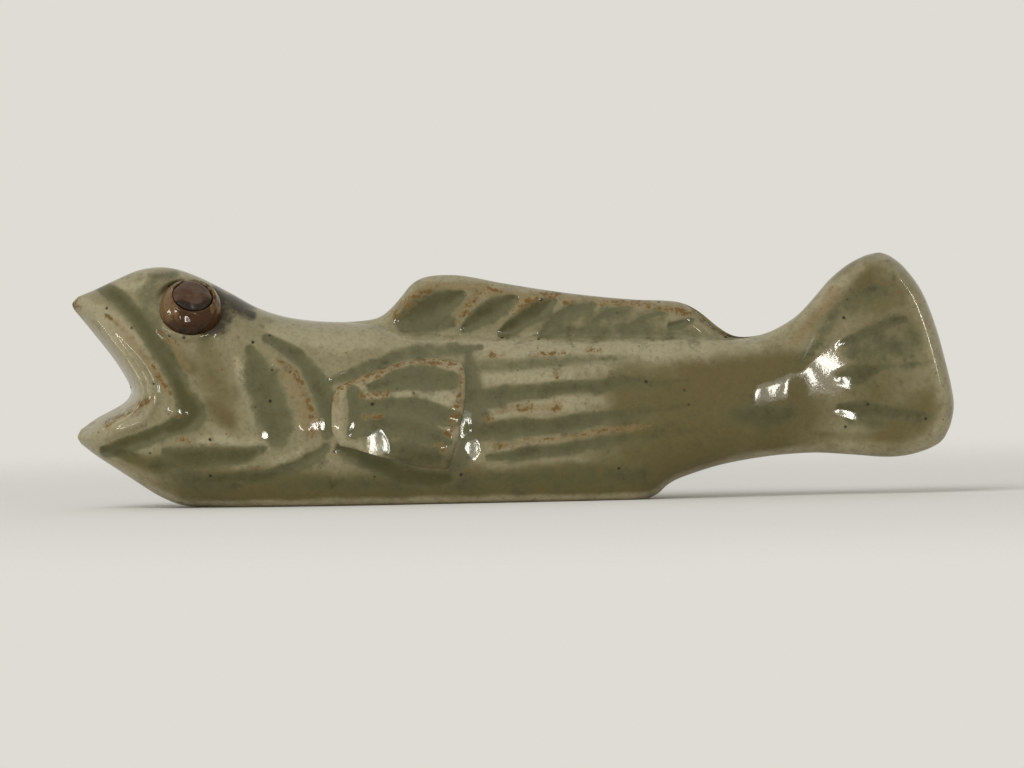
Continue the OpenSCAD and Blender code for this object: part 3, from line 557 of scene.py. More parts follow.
class CarvingSizes(bpy.types.PropertyGroup):
    """Sizes of the carved lines."""

    groove_depth: measure("Groove depth", "Depth of a carved groove", 0.21 * MM)
    groove_width: measure("Groove width", "Width of a plain groove", 2.0 * MM)
    ridge_height: measure("Gill ridge", "Height of the raised gill edge", 0.22 * MM)
    ray_depth: measure("Ray depth", "Depth of the grooves in a side fin", 0.19 * MM)
    fade: measure("Fade", "Distance from the rim over which carving runs out", 0.9 * MM)
    bead: measure("Lip bead", "Height of the bead along the lips", 0.14 * MM)
    moat: measure("Moat depth", "Depth of the moat round a side fin", 0.16 * MM)
    swell: measure("Unevenness", "Height of the swells that the hand left", 0.045 * MM)


class EyeSizes(bpy.types.PropertyGroup):
    """Sizes of an eye pellet and its seat."""

    radius: measure("Radius", "Radius of an eye pellet at its seat", 2.95 * MM)
    height: measure("Height", "Height of an eye pellet over its seat", 2.15 * MM)
    hollow: measure("Hollow", "Depth of the hollow for the pupil", 0.55 * MM)
    sink: measure("Sink", "Depth of the seat in the head", 0.3 * MM)
    moat: measure("Moat", "Width over which the seat runs out", 1.1 * MM)
    margin: measure("Margin", "Flat margin of the seat round the pellet", 0.1 * MM)
    tilt: slant("Seat tilt", "Angle by which an eye's seat faces upwards", 37)
    look: slant("Look", "Angle by which an eye looks upwards", 42)
    seat_turn: slant("Seat turn", "Angle by which an eye's seat faces back", 4)
    turn: slant("Turn", "Angle by which an eye looks back", 12)


class GlazeColours(bpy.types.PropertyGroup):
    """Colours of the fired glazes and of the clay."""

    # Also laid on the upper side of an eye's crest, partly as a painted highlight
    cream: colour("Thin glaze", "Celadon where it is thin over the ridges", "#9A9174")
    body: colour("Body glaze", "Celadon of middling thickness", "#837A5C")
    olive: colour("Thick glaze", "Celadon where it lies thick and brownish", "#5F5532")
    green: colour("Pooled glaze", "Celadon that has run together in a groove", "#5C5B3F")
    # Also laid as painted shade along the upper edges of the grooves
    deep_and_shade: colour("Deep glaze", "Pooled celadon where the glaze is thick all round", "#423F1C")
    tan: colour("Iron bloom", "Brownish glaze over an iron-rich ridge", "#806D49")
    rust: colour("Rust", "Iron that breaks through on a sharp edge", "#694D1A")
    speck: colour("Speck", "Iron speck in the clay", "#221709")
    smear: colour("Smear", "Dark iron glaze that ran from an eye", "#332B1E")
    amber: colour("Amber", "Iron glaze where it is thin on an eye", "#6E5433")
    # Also laid as painted shade in the crevice under each pupil
    dark_amber: colour("Dark amber", "Iron glaze where it lies thick on an eye", "#1C0F05")
    brown: colour("Eye brown", "Iron glaze of middling thickness on an eye", "#40260A")
    pupil: colour("Pupil", "Purple-brown iron glaze in a pupil", "#503D31")
    clay: colour("Clay", "Bare fired stoneware of the foot", "#A39780")


class StudioSettings(bpy.types.PropertyGroup):
    """Floor, lamps and camera."""

    floor: colour("Floor", "Pale paper under the rest", "#F1EFE9")
    backdrop: colour("Backdrop", "Colour behind the rest", "#DEDCD4")
    distance: measure("Camera distance", "From the camera to the fish", 1.2)
    scale: measure("Picture width", "Width of the picture at the fish", 100.1 * MM)
    roll: slant("Roll", "Turn of the camera about its own line of sight", 1.1)
    elevation: slant("Elevation", "Height of the camera over the level", 1.5)
    window_power: power("Window", "Power of each window pane", 0.75)
    soft_power: power("Soft light", "Power of the large soft lamp", 3.6)
    ambient: bpy.props.FloatProperty(
        name="Ambient", description="Strength of the light from all round", default=0.5)


def settings(name):
    return getattr(bpy.context.scene, name)


def place(thousandths):
    """Points of the side view in metres, kept inside the overall size."""
    sizes = settings("fish_sizes")
    shares = np.atleast_2d(np.asarray(thousandths, float)) / 1000
    x = np.clip((shares[:, 0] - 0.5) * sizes.length, -sizes.length / 2, sizes.length / 2)
    return np.column_stack((x, np.clip(shares[:, 1] * sizes.height, 0, sizes.height)))


def whole(strokes):
    """Strokes at their full share."""
    return [(1, places) for places in strokes]


def stroked(p, strokes, width, soft=2.0):
    """Depth of strokes at the points p, from 0 outside them to each one's own share on its line."""
    free = np.ones(len(p))
    for share, places in strokes:
        places = np.asarray(places, float)
        rows = rows_by_run(place(places[:, :2]))
        rows = np.column_stack((rows, places[:, 2] / 100 * width / 2))
        line = on_curve(rows, np.linspace(0, 1, STROKE_STEPS * (len(rows) - 1) + 1))
        most = line[:, 2].max()
        low, high = line[:, :2].min(0) - most, line[:, :2].max(0) + most
        near = np.flatnonzero(((p > low) & (p < high)).all(1))
        if not len(near):
            continue
        q, best = p[near], np.full(len(near), 1.0)
        for a, b in zip(line[:-1], line[1:]):
            run = b[:2] - a[:2]
            t = np.clip((q - a[:2]) @ run / (run @ run), 0, 1)
            off = np.linalg.norm(q - a[:2] - t[:, None] * run, axis=1) / between(a[2], b[2], t)
            best = np.minimum(best, off)
        free[near] *= 1 - share * (1 - best * best) ** soft
    return 1 - free


def pooled(p, strokes, width):
    """Glaze that has run together in carved strokes: clear at its upper edge, with a soft spill below."""
    above = p + (0, 0.3 * MM)
    spill = 0.4 * stroked(above, strokes, 1.5 * width, 1.5)
    return np.maximum(stroked(p, strokes, 1.05 * width, 1.0), spill)


def lumps(p, places):
    """Height of small round lumps on the skin."""
    total = np.zeros(len(p))
    for x, z, radius, height in places:
        away = np.linalg.norm(p - place([(x, z)]), axis=1) / (radius * MM)
        total += height * MM * (1 - np.clip(away, 0, 1) ** 2) ** 2
    return total


def drops(p, depth, places):
    """Depths behind the plane y = 0 at the points p, with smooth drops of glaze laid into them."""
    for x, z, reach, right, up, curve in places:
        off = p - place([(x, z)])
        away = np.linalg.norm(off, axis=1)
        slope = (math.tan(math.radians(right)), math.tan(math.radians(up)))
        face = depth[away.argmin()] + off @ slope + away ** 2 / (2 * curve * MM)
        depth = between(depth, face, 1 - ease(away, 0.45 * reach * MM, reach * MM))
    return depth


class SideView:
    """Curves of the fish's side view, and the thickness of its body over them."""

    def __init__(self):
        self.sizes, self.carving = settings("fish_sizes"), settings("carving_sizes")
        self.eye = eye = settings("eye_sizes")
        self.back_rows = rows_by_x(place(HEAD_BACK + DORSAL_EDGE + SADDLE + TAIL_TOP))
        self.crest_rows = rows_by_x(place(HEAD_BACK + DORSAL_ROOT + TAIL_CREST))
        self.belly_rows, self.keel_rows = rows_by_x(place(BELLY)), rows_by_x(place(TAIL_KEEL))
        self.upper_tip, self.lower_tip, self.upper_lip, self.lower_lip, self.rear = (
            rows_by_run(place(line))
            for line in (UPPER_JAW_TIP, LOWER_JAW_TIP, UPPER_LIP, LOWER_LIP, TAIL_REAR))
        self.rear_middle = on_curve(self.rear, [REAR_LOW_SHARE])
        self.middle = rows_by_run(np.vstack((place(MIDDLE_LINE), self.rear_middle)))
        fine, short = np.linspace(0, 1, 1200), np.linspace(0, 1, 300)
        self.back_line, self.belly_line = along_x(self.back_rows, fine), along_x(self.belly_rows, fine)
        self.rear_line = on_curve(self.rear, fine)
        self.tip_lines = [on_curve(self.upper_tip, short), on_curve(self.lower_tip, short)]
        upper, lower = on_curve(self.upper_lip, short), on_curve(self.lower_lip, short[-2::-1])
        self.lip_line = np.vstack((upper, lower))
        self.eye_place = place([EYE_PLACE])
        self.eye_depth = float(self.seat(self.eye_place)[0]) - eye.sink
        self.eye_normal = facing(eye.seat_turn, eye.tilt)
        self.crown = math.sqrt(eye.radius ** 2 - eye.height ** 2)
        self.hollow_floor = eye.height - eye.hollow

    def length_share(self, p):
        return p[:, 0] / self.sizes.length + 0.5

    def core(self, p):
        """Half thickness of the rounded core under the points p."""
        sizes, share = self.sizes, self.length_share(p)
        half = on_curve(HALF_THICKNESS_SHARES, share)[:, 0] * sizes.thickness / 2
        axis = on_curve(AXIS_HEIGHT_SHARES, share)[:, 0] * sizes.height
        crest = on_curve(self.crest_rows, p[:, 0])[:, 1]
        belly = np.maximum(0, on_curve(self.belly_rows, p[:, 0])[:, 1])
        keel = np.where(p[:, 0] > self.keel_rows[0][0], on_curve(self.keel_rows, p[:, 0])[:, 1], belly)
        reach = (1 - (self.foot(p) / half) ** FULLNESS) ** (1 / FULLNESS)
        up = (p[:, 1] - axis) / (crest - axis)
        down = (axis - p[:, 1]) * reach / (axis - keel)
        q = np.clip(np.where(p[:, 1] > axis, up, down), 0, 1)
        return half * (1 - q ** FULLNESS) ** (1 / FULLNESS)

    def foot(self, p):
        """Half width of the flat foot at the points p."""
        share = self.length_share(p)
        half = np.maximum(0, on_curve(FOOT_HALF_SHARES, share)[:, 0]) * self.sizes.foot_width / 2
        inside = (share > FOOT_HALF_SHARES[0][0]) & (share < FOOT_HALF_SHARES[-1][0])
        return np.where(inside, half, 0)

    def foot_edge(self, p):
        return np.minimum(self.sizes.foot_round, self.foot(p) / 2)

    def web(self, p):
        """Half thickness of the dorsal fin and the tail, which run through the core as a thin web."""
        share = self.length_share(p)
        above = np.maximum(0, p[:, 1] - FLARE_LOW_SHARE * self.sizes.height)
        flare = FLARE_SLOPE * above * ease(share, *FLARE_BEGINS)
        tail = ease(share, *TAIL_BEGINS)
        return between(self.sizes.dorsal_thickness, self.sizes.tail_thickness, tail) / 2 + flare

    def seat(self, p):
        """Half thickness of the plain body, before its edges are rounded and its skin is carved."""
        return melted(self.core(p), self.web(p))

    def eye_flat(self, p):
        """Distance of the flat seat of an eye from the plane y = 0."""
        nx, ny, nz = self.eye_normal
        off = p - self.eye_place
        return self.eye_depth + (nx * off[:, 0] + nz * off[:, 1]) / ny

    def to_eye(self, p):
        """Distance from the middle of the eye's seat, measured on the seat."""
        flat = self.eye_flat(p)
        off = p - self.eye_place
        return np.sqrt(off[:, 0] ** 2 + (flat - self.eye_depth) ** 2 + off[:, 1] ** 2)

    def rims(self, p):
        """Distances from the nearest rim, and from the back and belly, jaw tips, rear edge and lips."""
        sides = np.minimum(distance_to(self.back_line, p), distance_to(self.belly_line, p))
        tips = np.minimum(distance_to(self.tip_lines[0], p), distance_to(self.tip_lines[1], p))
        rear = distance_to(self.rear_line, p)
        nearest = np.minimum(np.minimum(sides, tips), rear)
        return nearest, sides, tips, rear, distance_to(self.lip_line, p)

    def relief(self, p, edge):
        """Height of what tools and fingers left on the skin, at a distance from the rim."""
        sizes, carving, share = self.sizes, self.carving, self.length_share(p)
        grooves, ridges, socket, moat = (
            stroked(p, strokes, carving.groove_width)
            for strokes in (
                GROOVE_DEPTHS, whole(GILL_EDGE_STROKES), whole(SOCKET_STROKES), whole(MOAT_STROKES)))
        relief = carving.ridge_height * ridges - carving.groove_depth * (grooves + SOCKET_DEPTH * socket)
        relief *= 1 - GROOVES_LOST * ease(share, *GROOVES_END) * (1 - ease(share, *GROOVES_RETURN))
        relief -= carving.moat * moat
        relief += lumps(p, LUMPS)
        dished = ease(share, *DISH_BEGINS) * ease(edge, 0.2 * sizes.tail_rim, 1.7 * sizes.tail_rim)
        relief -= sizes.tail_dish * dished
        calm = 1 - SWELL_LOST * ease(share, *SWELL_ENDS)
        swell = sum(height * uneven(p, size * MM, seed) for height, size, seed in SWELLS)
        return relief + carving.swell * calm * swell

    def half_thickness(self, p):
        """Half thickness of the carved body at the points p."""
        sizes, eye, share = self.sizes, self.eye, self.length_share(p)
        edge, sides, tips, rear, lips = self.rims(p)
        web = self.web(p) * rounding(sides, sizes.edge_round) * rounding(tips, sizes.edge_round)
        core = self.core(p) * rounding(tips, TIP_ROUNDING * sizes.edge_round)
        body = melted(core, web) * rounding(rear, sizes.edge_round)
        carved = ease(edge, 0, self.carving.fade)
        half = body + self.relief(p, edge) * carved
        inner = 1 - np.clip(lips / sizes.lip_round, 0, 1)
        half = half * (1 - inner * inner)
        bead = self.carving.bead * between(*BEAD_HEIGHTS, ease(share, *BEAD_GROWS)) * carved
        for at, spread, reach in LIP_BEADS:
            at = at + spread * ease(share, *BEAD_SPREADS)
            off_bead = np.clip(np.abs(lips - at * MM) / (reach * MM), 0, 1)
            half = half + bead * (1 - off_bead ** 2) ** 2
        off = self.to_eye(p) - eye.radius - eye.margin
        half = np.where(off < eye.moat, between(self.eye_flat(p), half, ease(off, 0, eye.moat)), half)
        half = -drops(p, -half, BODY_DROPS)
        edge_round = np.maximum(self.foot_edge(p), 1e-9)
        low = np.clip(1 - p[:, 1] / edge_round, 0, 1)
        turned = edge_round * (1 - np.sqrt(1 - low * low))
        return np.maximum(0, half - np.where(self.foot(p) > 0, turned, 0))


def melted(a, b):
    """Two half thicknesses melted into one."""
    return (a ** BLENDING + b ** BLENDING) ** (1 / BLENDING)


def facing(turn, lift):
    """Direction of the left side's face, turned back and lifted."""
    return math.sin(turn) * math.cos(lift), -math.cos(turn) * math.cos(lift), math.sin(lift)


def deselect():
    if bpy.context.object and bpy.context.object.mode != "OBJECT":
        bpy.ops.object.mode_set(mode="OBJECT")
    bpy.ops.object.select_all(action="DESELECT")


def select(*objects):
    """Selects objects alone, with the first one active."""
    deselect()
    for obj in objects:
        obj.select_set(True)
    bpy.context.view_layer.objects.active = objects[0]


def points_of(obj):
    co = np.empty(len(obj.data.vertices) * 3)
    obj.data.vertices.foreach_get("co", co)
    return co.reshape(-1, 3)


def move_points(obj, co):
    obj.data.vertices.foreach_set("co", np.asarray(co, float).ravel())
    obj.data.update()


def make_grid(name, columns, rows):
    """A flat grid, and the column and row of each of its points."""
    deselect()
    bpy.ops.mesh.primitive_grid_add(x_subdivisions=columns, y_subdivisions=rows, size=2)
    obj = bpy.context.object
    obj.name = obj.data.name = name
    co = points_of(obj)
    i = np.rint((co[:, 0] + 1) / 2 * columns).astype(int)
    j = np.rint((co[:, 1] + 1) / 2 * rows).astype(int)
    return obj, i, j


def apply_modifier(obj, kind, **values):
    select(obj)
    modifier = obj.modifiers.new(kind.title(), kind)
    for key, value in values.items():
        setattr(modifier, key, value)
    bpy.ops.object.modifier_apply(modifier=modifier.name)


def weld_and_face_out(obj, distance=1e-6):
    """Merges points closer than a distance, and turns the faces outwards."""
    select(obj)
    bpy.ops.object.mode_set(mode="EDIT")
    bpy.ops.mesh.select_all(action="SELECT")
    bpy.ops.mesh.remove_doubles(threshold=distance)
    bpy.ops.mesh.dissolve_degenerate(threshold=distance / 10)
    bpy.ops.mesh.select_all(action="SELECT")
    bpy.ops.mesh.normals_make_consistent(inside=False)
    bpy.ops.object.mode_set(mode="OBJECT")
    bpy.ops.object.shade_smooth()


def copy_to_other_side(obj, name):
    """A copy of a left piece, mirrored about the plane y = 0, with its faces outwards."""
    select(obj)
    bpy.ops.object.duplicate()
    other = bpy.context.object
    other.name = other.data.name = name
    other.data.transform(Matrix.Scale(-1, 4, Vector((0, 1, 0))))
    weld_and_face_out(other, 1e-9)
    return other


def paint(obj, name, values):
    """Stores a value for each point of a mesh, for its material."""
    layer = obj.data.attributes.new(name, "FLOAT", "POINT")
    layer.data.foreach_set("value", np.asarray(values, np.float32))


def finish_piece(obj, materials, slot_name, *nodes):
    for material in materials:
        obj.data.materials.append(material)
    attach(obj, ROOT)
    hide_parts(*nodes)


def crowded(k):
    """Even steps turned into steps that crowd at both ends."""
    return between(k, (1 - np.cos(math.pi * k)) / 2, CROWDING)


def crowded_first(k):
    """Even steps turned into steps that crowd at the first end."""
    return between(k, 1 - np.cos(math.pi / 2 * k), CROWDING)


def column_share(i):
    """Share of the back line that column i reaches, with columns crowded at the jaw tips and the rear."""
    ends = [0, MOUTH_COLUMNS, GILL_COLUMNS, TAIL_COLUMNS, COLUMNS]
    t = np.interp(i, ends, [0, MOUTH_SHARE, GILL_SHARE, TAIL_SHARE, 1])
    front = MOUTH_SHARE * np.clip(i / MOUTH_COLUMNS, 0, 1) ** TIP_CROWDING
    last = np.clip((COLUMNS - i) / (COLUMNS - TAIL_COLUMNS), 0, 1)
    t = np.where(i < MOUTH_COLUMNS, front, t)
    return np.where(i > TAIL_COLUMNS, 1 - (1 - TAIL_SHARE) * last ** REAR_CROWDING, t)


def patch(low, high, left, right, corners, t, w):
    """Point between four edge points, for the shares t along and w across."""
    t, w = t[:, None], w[:, None]
    return (
        between(low, high, w)
        + (1 - t) * (left - between(corners[0], corners[1], w))
        + t ** 3 * (right - between(corners[2], corners[3], w))
    )


def lip_or_middle(side, lip, t):
    """Line between the low and the high side: along a lip, and behind the mouth along the middle."""
    on_lip = on_curve(lip, np.clip(t / MOUTH_SHARE, 0, 1))
    behind = on_curve(side.middle, np.clip((t - MOUTH_SHARE) / (1 - MOUTH_SHARE), 0, 1))
    return np.where((t < MOUTH_SHARE)[:, None], on_lip, behind)


def low_patch(side):
    """Left side below the middle line, with the rows of the foot's underside first."""
    obj, i, j = make_grid("low_side", COLUMNS, UNDER_ROWS + LOW_ROWS)
    t = column_share(i)
    row = np.clip((j - UNDER_ROWS) / LOW_ROWS, 0, 1)
    w = between(crowded(row), crowded_first(row), ease(t, MOUTH_SHARE, 2 * MOUTH_SHARE))
    low, high = along_x(side.belly_rows, t), lip_or_middle(side, side.lower_lip, t)
    tip, rear = side.lower_tip, side.rear
    left, right = on_curve(tip, w), on_curve(rear, w * REAR_LOW_SHARE)
    corners = [tip[0, 1:], tip[-1, 1:], rear[0, 1:], side.rear_middle[0]]
    p = patch(low, high, left, right, corners, t, w)
    p[:, 1] = np.maximum(p[:, 1], 0)
    rim = (w <= 0) | (i == 0) | (i == COLUMNS) | ((w >= 1) & (i <= MOUTH_COLUMNS))
    half = np.where(rim, 0, side.half_thickness(p))
    under = (j <= UNDER_ROWS) & (i > 0) & (i < COLUMNS)
    flat = np.maximum(0, side.foot(p) - side.foot_edge(p)) * j / UNDER_ROWS
    half = np.where(under, np.where(side.foot(p) > 0, flat, 0), half)
    move_points(obj, np.column_stack((p[:, 0], -half, p[:, 1])))
    return obj


def high_patch(side):
    """Left side above the middle line."""
    obj, i, j = make_grid("high_side", COLUMNS, HIGH_ROWS)
    t = column_share(i)
    row = j / HIGH_ROWS
    w = between(crowded(row), 1 - crowded_first(1 - row), ease(t, MOUTH_SHARE, 2 * MOUTH_SHARE))
    low, high = lip_or_middle(side, side.upper_lip, t), along_x(side.back_rows, t)
    tip, rear = side.upper_tip, side.rear
    left, right = on_curve(tip, w), on_curve(rear, between(REAR_LOW_SHARE, 1, w))
    corners = [tip[0, 1:], tip[-1, 1:], side.rear_middle[0], rear[-1, 1:]]
    p = patch(low, high, left, right, corners, t, w)
    rim = (w >= 1) | (i == 0) | (i == COLUMNS) | ((w <= 0) & (i <= MOUTH_COLUMNS))
    half = np.where(rim, 0, side.half_thickness(p))
    move_points(obj, np.column_stack((p[:, 0], -half, p[:, 1])))
    return obj


def wandering(p, size, seed):
    """Points shifted by up to about size, so that a painted edge wanders."""
    return p + size * np.column_stack((uneven(p, 5 * MM, seed), uneven(p, 5 * MM, seed + 1)))


def fin_coats(side, p, q):
    """Painted values of a side fin at the points p, with strokes read at the wandering points q."""
    width, z = side.carving.groove_width, q[:, 1] / side.sizes.height
    thin, green = stroked(q, THIN_STROKES, THIN_WIDTH), stroked(q, GREEN_STROKES, GREEN_WIDTH)
    edge, rays = fin_edge(side, p), whole(RAY_STROKES)
    return {
        "pool": np.maximum(pooled(q, rays, 1.1 * width), green),
        "olive": 0.6 * (1 - ease(z, 0.15, 0.36)),
        "thin": np.maximum(thin, 0.8 - 0.8 * ease(edge, 0.4 * MM, 1.4 * MM)),
        "rust": stroked(q, whole(FIN_RUST_STROKES), RUST_WIDTH),
        "tan": 0.7 * (1 - ease(edge, 0.5 * MM, 1.6 * MM)) * ease(z, 0.25, 0.4),
        "smear": np.zeros(len(p)),
        # Painted shade along the upper edges of the rays' grooves
        "core": 0.3 * stroked(q + POOL_SHADE_SHIFT, rays, 0.7 * width, 1.0),
    }


def body_coats(side, p, q):
    """Painted values of the body, read in the same way."""
    width, x, z = side.carving.groove_width, side.length_share(q), q[:, 1] / side.sizes.height
    thin, green = stroked(q, THIN_STROKES, THIN_WIDTH), stroked(q, GREEN_STROKES, GREEN_WIDTH)
    rim, _, _, _, lips = side.rims(p)
    on_tail, on_rim, on_rear = ease(x, *TAIL_GLAZE), ease(x, *TAIL_RIM_GLAZE), ease(x, *REAR_GLAZE)
    # Glaze pooled in the grooves, which runs out towards the rear of the flank
    pool = pooled(q, GROOVE_POOLS, width)
    lost = 0.9 * ease(x, *GROOVES_END) * (1 - ease(z, *FLANK_TOP)) * (1 - ease(x, *GROOVES_RETURN))
    pool *= 1 - lost
    pool = np.maximum(pool, 0.7 * stroked(q, whole(MOAT_STROKES), 1.5 * width, 1.2))
    pool = np.maximum(pool, 0.5 * stroked(q, whole(SOCKET_STROKES), 1.3 * width, 1.2))
    # Thick glaze low on the belly, on the rear of the flank and over the tail
    belly = (1 - ease(z, *BELLY_TOP)) * ease(x, *BELLY_FRONT) * (1 - ease(x, *BELLY_REAR))
    rear_flank = ease(x, *FLANK_REAR) * (1 - ease(z, 0.44 + 0.10 * x, 0.58 + 0.12 * x))
    painted_olive = stroked(q, OLIVE_STROKES, OLIVE_WIDTH)
    olive = np.maximum.reduce([belly, rear_flank * (1 - 0.4 * on_tail), 0.5 * on_tail, painted_olive])
    # Glaze that has run off the rims, the wiped edge of the foot and the tail's upper lobe
    edged = 1 - ease(rim, 0.2 * MM, between(1.1, 2.6, ease(x, 0.80, 0.90)) * MM)
    foot_band = (1 - ease(z, *BAND_TOP)) * ease(x, *BAND_FRONT) * (1 - ease(x, *BAND_REAR))
    run_off = between(0.8, between(0.5, 0.8, on_rear), on_rim)
    olive = olive * (1 - run_off * edged) * (1 - 0.6 * foot_band)
    olive = olive * (1 - 0.8 * thin * ease(x, *LOBE_FRONT) * ease(z, *LOBE_LOW))
    pool = np.maximum(pool * (1 - 0.5 * edged * ease(x, 0.3, 0.35)), green * (1 - edged))
    bare_rim = between(0.6, between(0.45, 0.75, on_rear), on_rim) * edged
    at_lips = 0.9 - 0.9 * ease(lips, 1 * MM, 3 * MM)
    thin = thin * (1 - 0.5 * rear_flank * (1 - ease(z, 0.6, 0.7)))
    thin = np.maximum.reduce([thin, bare_rim, 0.5 * foot_band, at_lips])
    # Painted shade along the upper edges of the grooves, where the ridge above shades them
    groove_shade_strokes = [(0.8 * share ** 3, places) for share, places in GROOVE_POOLS]
    return {
        "pool": pool,
        "olive": olive,
        "thin": thin,
        "rust": stroked(q, whole(RUST_STROKES), RUST_WIDTH),
        "tan": stroked(q, whole(TAN_STROKES), TAN_WIDTH),
        "smear": stroked(q, whole(SMEAR_STROKES), SMEAR_WIDTH, 1.6),
        # Painted shade in the grooves, kept off the rims
        "core": stroked(q + POOL_SHADE_SHIFT, groove_shade_strokes, 0.75 * width, 1.0) * (1 - 0.7 * edged),
    }


def paint_glaze(obj, side, coats):
    """Stores where the glaze is thin, thick, pooled or broken by iron, and where shade is painted in the
    grooves.
    """
    p = points_of(obj)[:, [0, 2]]
    painted = coats(side, p, wandering(p, 0.12 * MM, 31))
    # The deep glaze takes the thick pools and the painted shade in the grooves
    thick_pool = painted["pool"] * np.minimum(1, 1.2 * painted["olive"])
    painted["deep_and_shade"] = np.maximum(thick_pool, painted["core"])
    for name in ("pool", "deep_and_shade", "olive", "thin", "rust", "tan", "smear"):
        paint(obj, name, painted[name])


class FISHREST_OT_body(bpy.types.Operator):
    """Carved and glazed body with its dorsal fin, tail, lips and bare foot"""

    bl_idname = "fishrest.body"
    bl_label = "Body"

    def execute(self, context):
        side = SideView()
        select(low_patch(side), high_patch(side))
        bpy.ops.object.join()
        body = context.object
        body.name = body.data.name = "glazed_body"
        weld_and_face_out(body)
        apply_modifier(body, "MIRROR", use_axis=(False, True, False), merge_threshold=1e-6)
        weld_and_face_out(body)
        paint_glaze(body, side, body_coats)
        finishes = [celadon_glaze(), bare_stoneware()]
        finish_piece(body, finishes, "celadon_glaze", "body_left_half", "body_right_half")
        self.bare_foot(body)
        return {"FINISHED"}

    def bare_foot(self, body):
        """Gives the flat underside the bare clay, which was wiped free of glaze."""
        mesh = body.data
        middles, normals = np.empty(len(mesh.polygons) * 3), np.empty(len(mesh.polygons) * 3)
        mesh.polygons.foreach_get("center", middles)
        mesh.polygons.foreach_get("normal", normals)
        bare = (middles.reshape(-1, 3)[:, 2] < 0.12 * MM) & (normals.reshape(-1, 3)[:, 2] < -0.6)
        mesh.polygons.foreach_set("material_index", bare.astype(np.int32))
        mesh.update()


def fin_edge(side, p):
    """Distance from the outline of a side fin."""
    fine = np.linspace(0, 1, 400)
    lines = [on_curve(rows_by_run(place(line)), fine) for line in (FIN_BASE, FIN_TOP, FIN_END, FIN_LOW)]
    return np.min([distance_to(line, p) for line in lines], axis=0)


class FISHREST_OT_side_fins(bpy.types.Operator):
    """Fan-shaped side fins with carved rays, laid on the flanks"""

    bl_idname = "fishrest.side_fins"
    bl_label = "Side Fins"

    def execute(self, context):
        side = SideView()
        fin = self.left_fin(side)
        right = copy_to_other_side(fin, "glazed_side_fin_right")
        for obj, node in ((fin, "pectoral_fin_left"), (right, "pectoral_fin_right")):
            paint_glaze(obj, side, fin_coats)
            finish_piece(obj, [bpy.data.materials["celadon_glaze_on_stoneware"]], "celadon_glaze", node)
        return {"FINISHED"}

    def left_fin(self, side):
        """A sheet over the fin's outline, raised over the flank and then thickened inwards."""
        fin, i, j = make_grid("glazed_side_fin_left", FAN_COLUMNS, FAN_ROWS)
        t, w = crowded(i / FAN_COLUMNS), crowded(j / FAN_ROWS)
        base, top, end, low = (rows_by_run(place(line)) for line in (FIN_BASE, FIN_TOP, FIN_END, FIN_LOW))
        across, along = w[:, None], t[:, None]
        front, back = between(base[0, 1:], base[-1, 1:], across), between(end[0, 1:], end[-1, 1:], across)
        p = (
            between(on_curve(low, t), on_curve(top, t), across)
            + between(on_curve(base, w), on_curve(end, w), along)
            - between(front, back, along)
        )
        edge = fin_edge(side, p)
        sizes, carving = side.sizes, side.carving
        rays = stroked(p, whole(RAY_STROKES), carving.groove_width * 1.1) * ease(edge, 0, carving.fade)
        swell = carving.swell * uneven(p, 3 * MM, 11) + lumps(p, FIN_LUMPS)
        base_rise = between(0.6, 0.86, ease(t, 0, 0.2))
        rim_rise = 0.14 - 0.1 * ease(t, 0.4, 0.9) * (1 - ease(w, 0.1, 0.5))
        crowned = rounding(edge, between(0.8, 1.2, ease(t, 0.05, 0.25)) * sizes.edge_round)
        top_height = sizes.fin_height * base_rise * between(rim_rise, 1, crowned) + swell
        height = top_height - carving.ray_depth * rays
        depth = drops(p, -side.seat(p) - height, FIN_DROPS)
        move_points(fin, np.column_stack((p[:, 0], depth, p[:, 1])))
        weld_and_face_out(fin)
        self.face_left(fin)
        apply_modifier(fin, "SOLIDIFY", thickness=0.9 * MM, offset=-1)
        weld_and_face_out(fin)
        return fin

    def face_left(self, sheet):
        """Turns the faces of the open sheet so that they look to the left side of the fish."""
        normals = np.empty(len(sheet.data.polygons) * 3)
        sheet.data.polygons.foreach_get("normal", normals)
        if normals.reshape(-1, 3)[:, 1].mean() > 0:
            sheet.data.flip_normals()


def eye_frame(side):
    """Matrix from the eye's own axes, with +Z where it looks and +Y downwards, to the fish."""
    out = Vector(facing(side.eye.turn, side.eye.look))
    across = out.cross(Vector((0, 0, 1))).normalized()
    turned = Matrix((across, out.cross(across), out)).transposed().to_4x4()
    x, z = side.eye_place[0]
    return Matrix.Translation((x, -side.eye_depth, z)) @ turned


def own_axes(side, points):
    """Points of either eye in the left eye's own axes, and their distance from its line of sight."""
    inverse = np.array(eye_frame(side).inverted())
    left = np.column_stack((points[:, 0], -np.abs(points[:, 1]), points[:, 2]))
    own = left @ inverse[:3, :3].T + inverse[:3, 3]
    return own, np.hypot(own[:, 0], own[:, 1])


def turned_piece(name, profile, rings):
    """A closed round piece: a ball whose rings are moved to a profile of radius and height."""
    deselect()
    bpy.ops.mesh.primitive_uv_sphere_add(segments=160, ring_count=rings, radius=1)
    obj = bpy.context.object
    obj.name = obj.data.name = name
    co = points_of(obj)
    share = np.arccos(np.clip(co[:, 2], -1, 1)) / math.pi
    at = on_curve(rows_by_run(profile), share)
    angle = np.arctan2(co[:, 1], co[:, 0])
    pole = (share < 1e-4) | (share > 1 - 1e-4)
    radius = np.where(pole, 0, at[:, 0])
    move_points(obj, np.column_stack((radius * np.cos(angle), radius * np.sin(angle), at[:, 1])))
    return obj


def place_on_seat(obj, side):
    obj.data.transform(eye_frame(side))
    weld_and_face_out(obj, 1e-8)


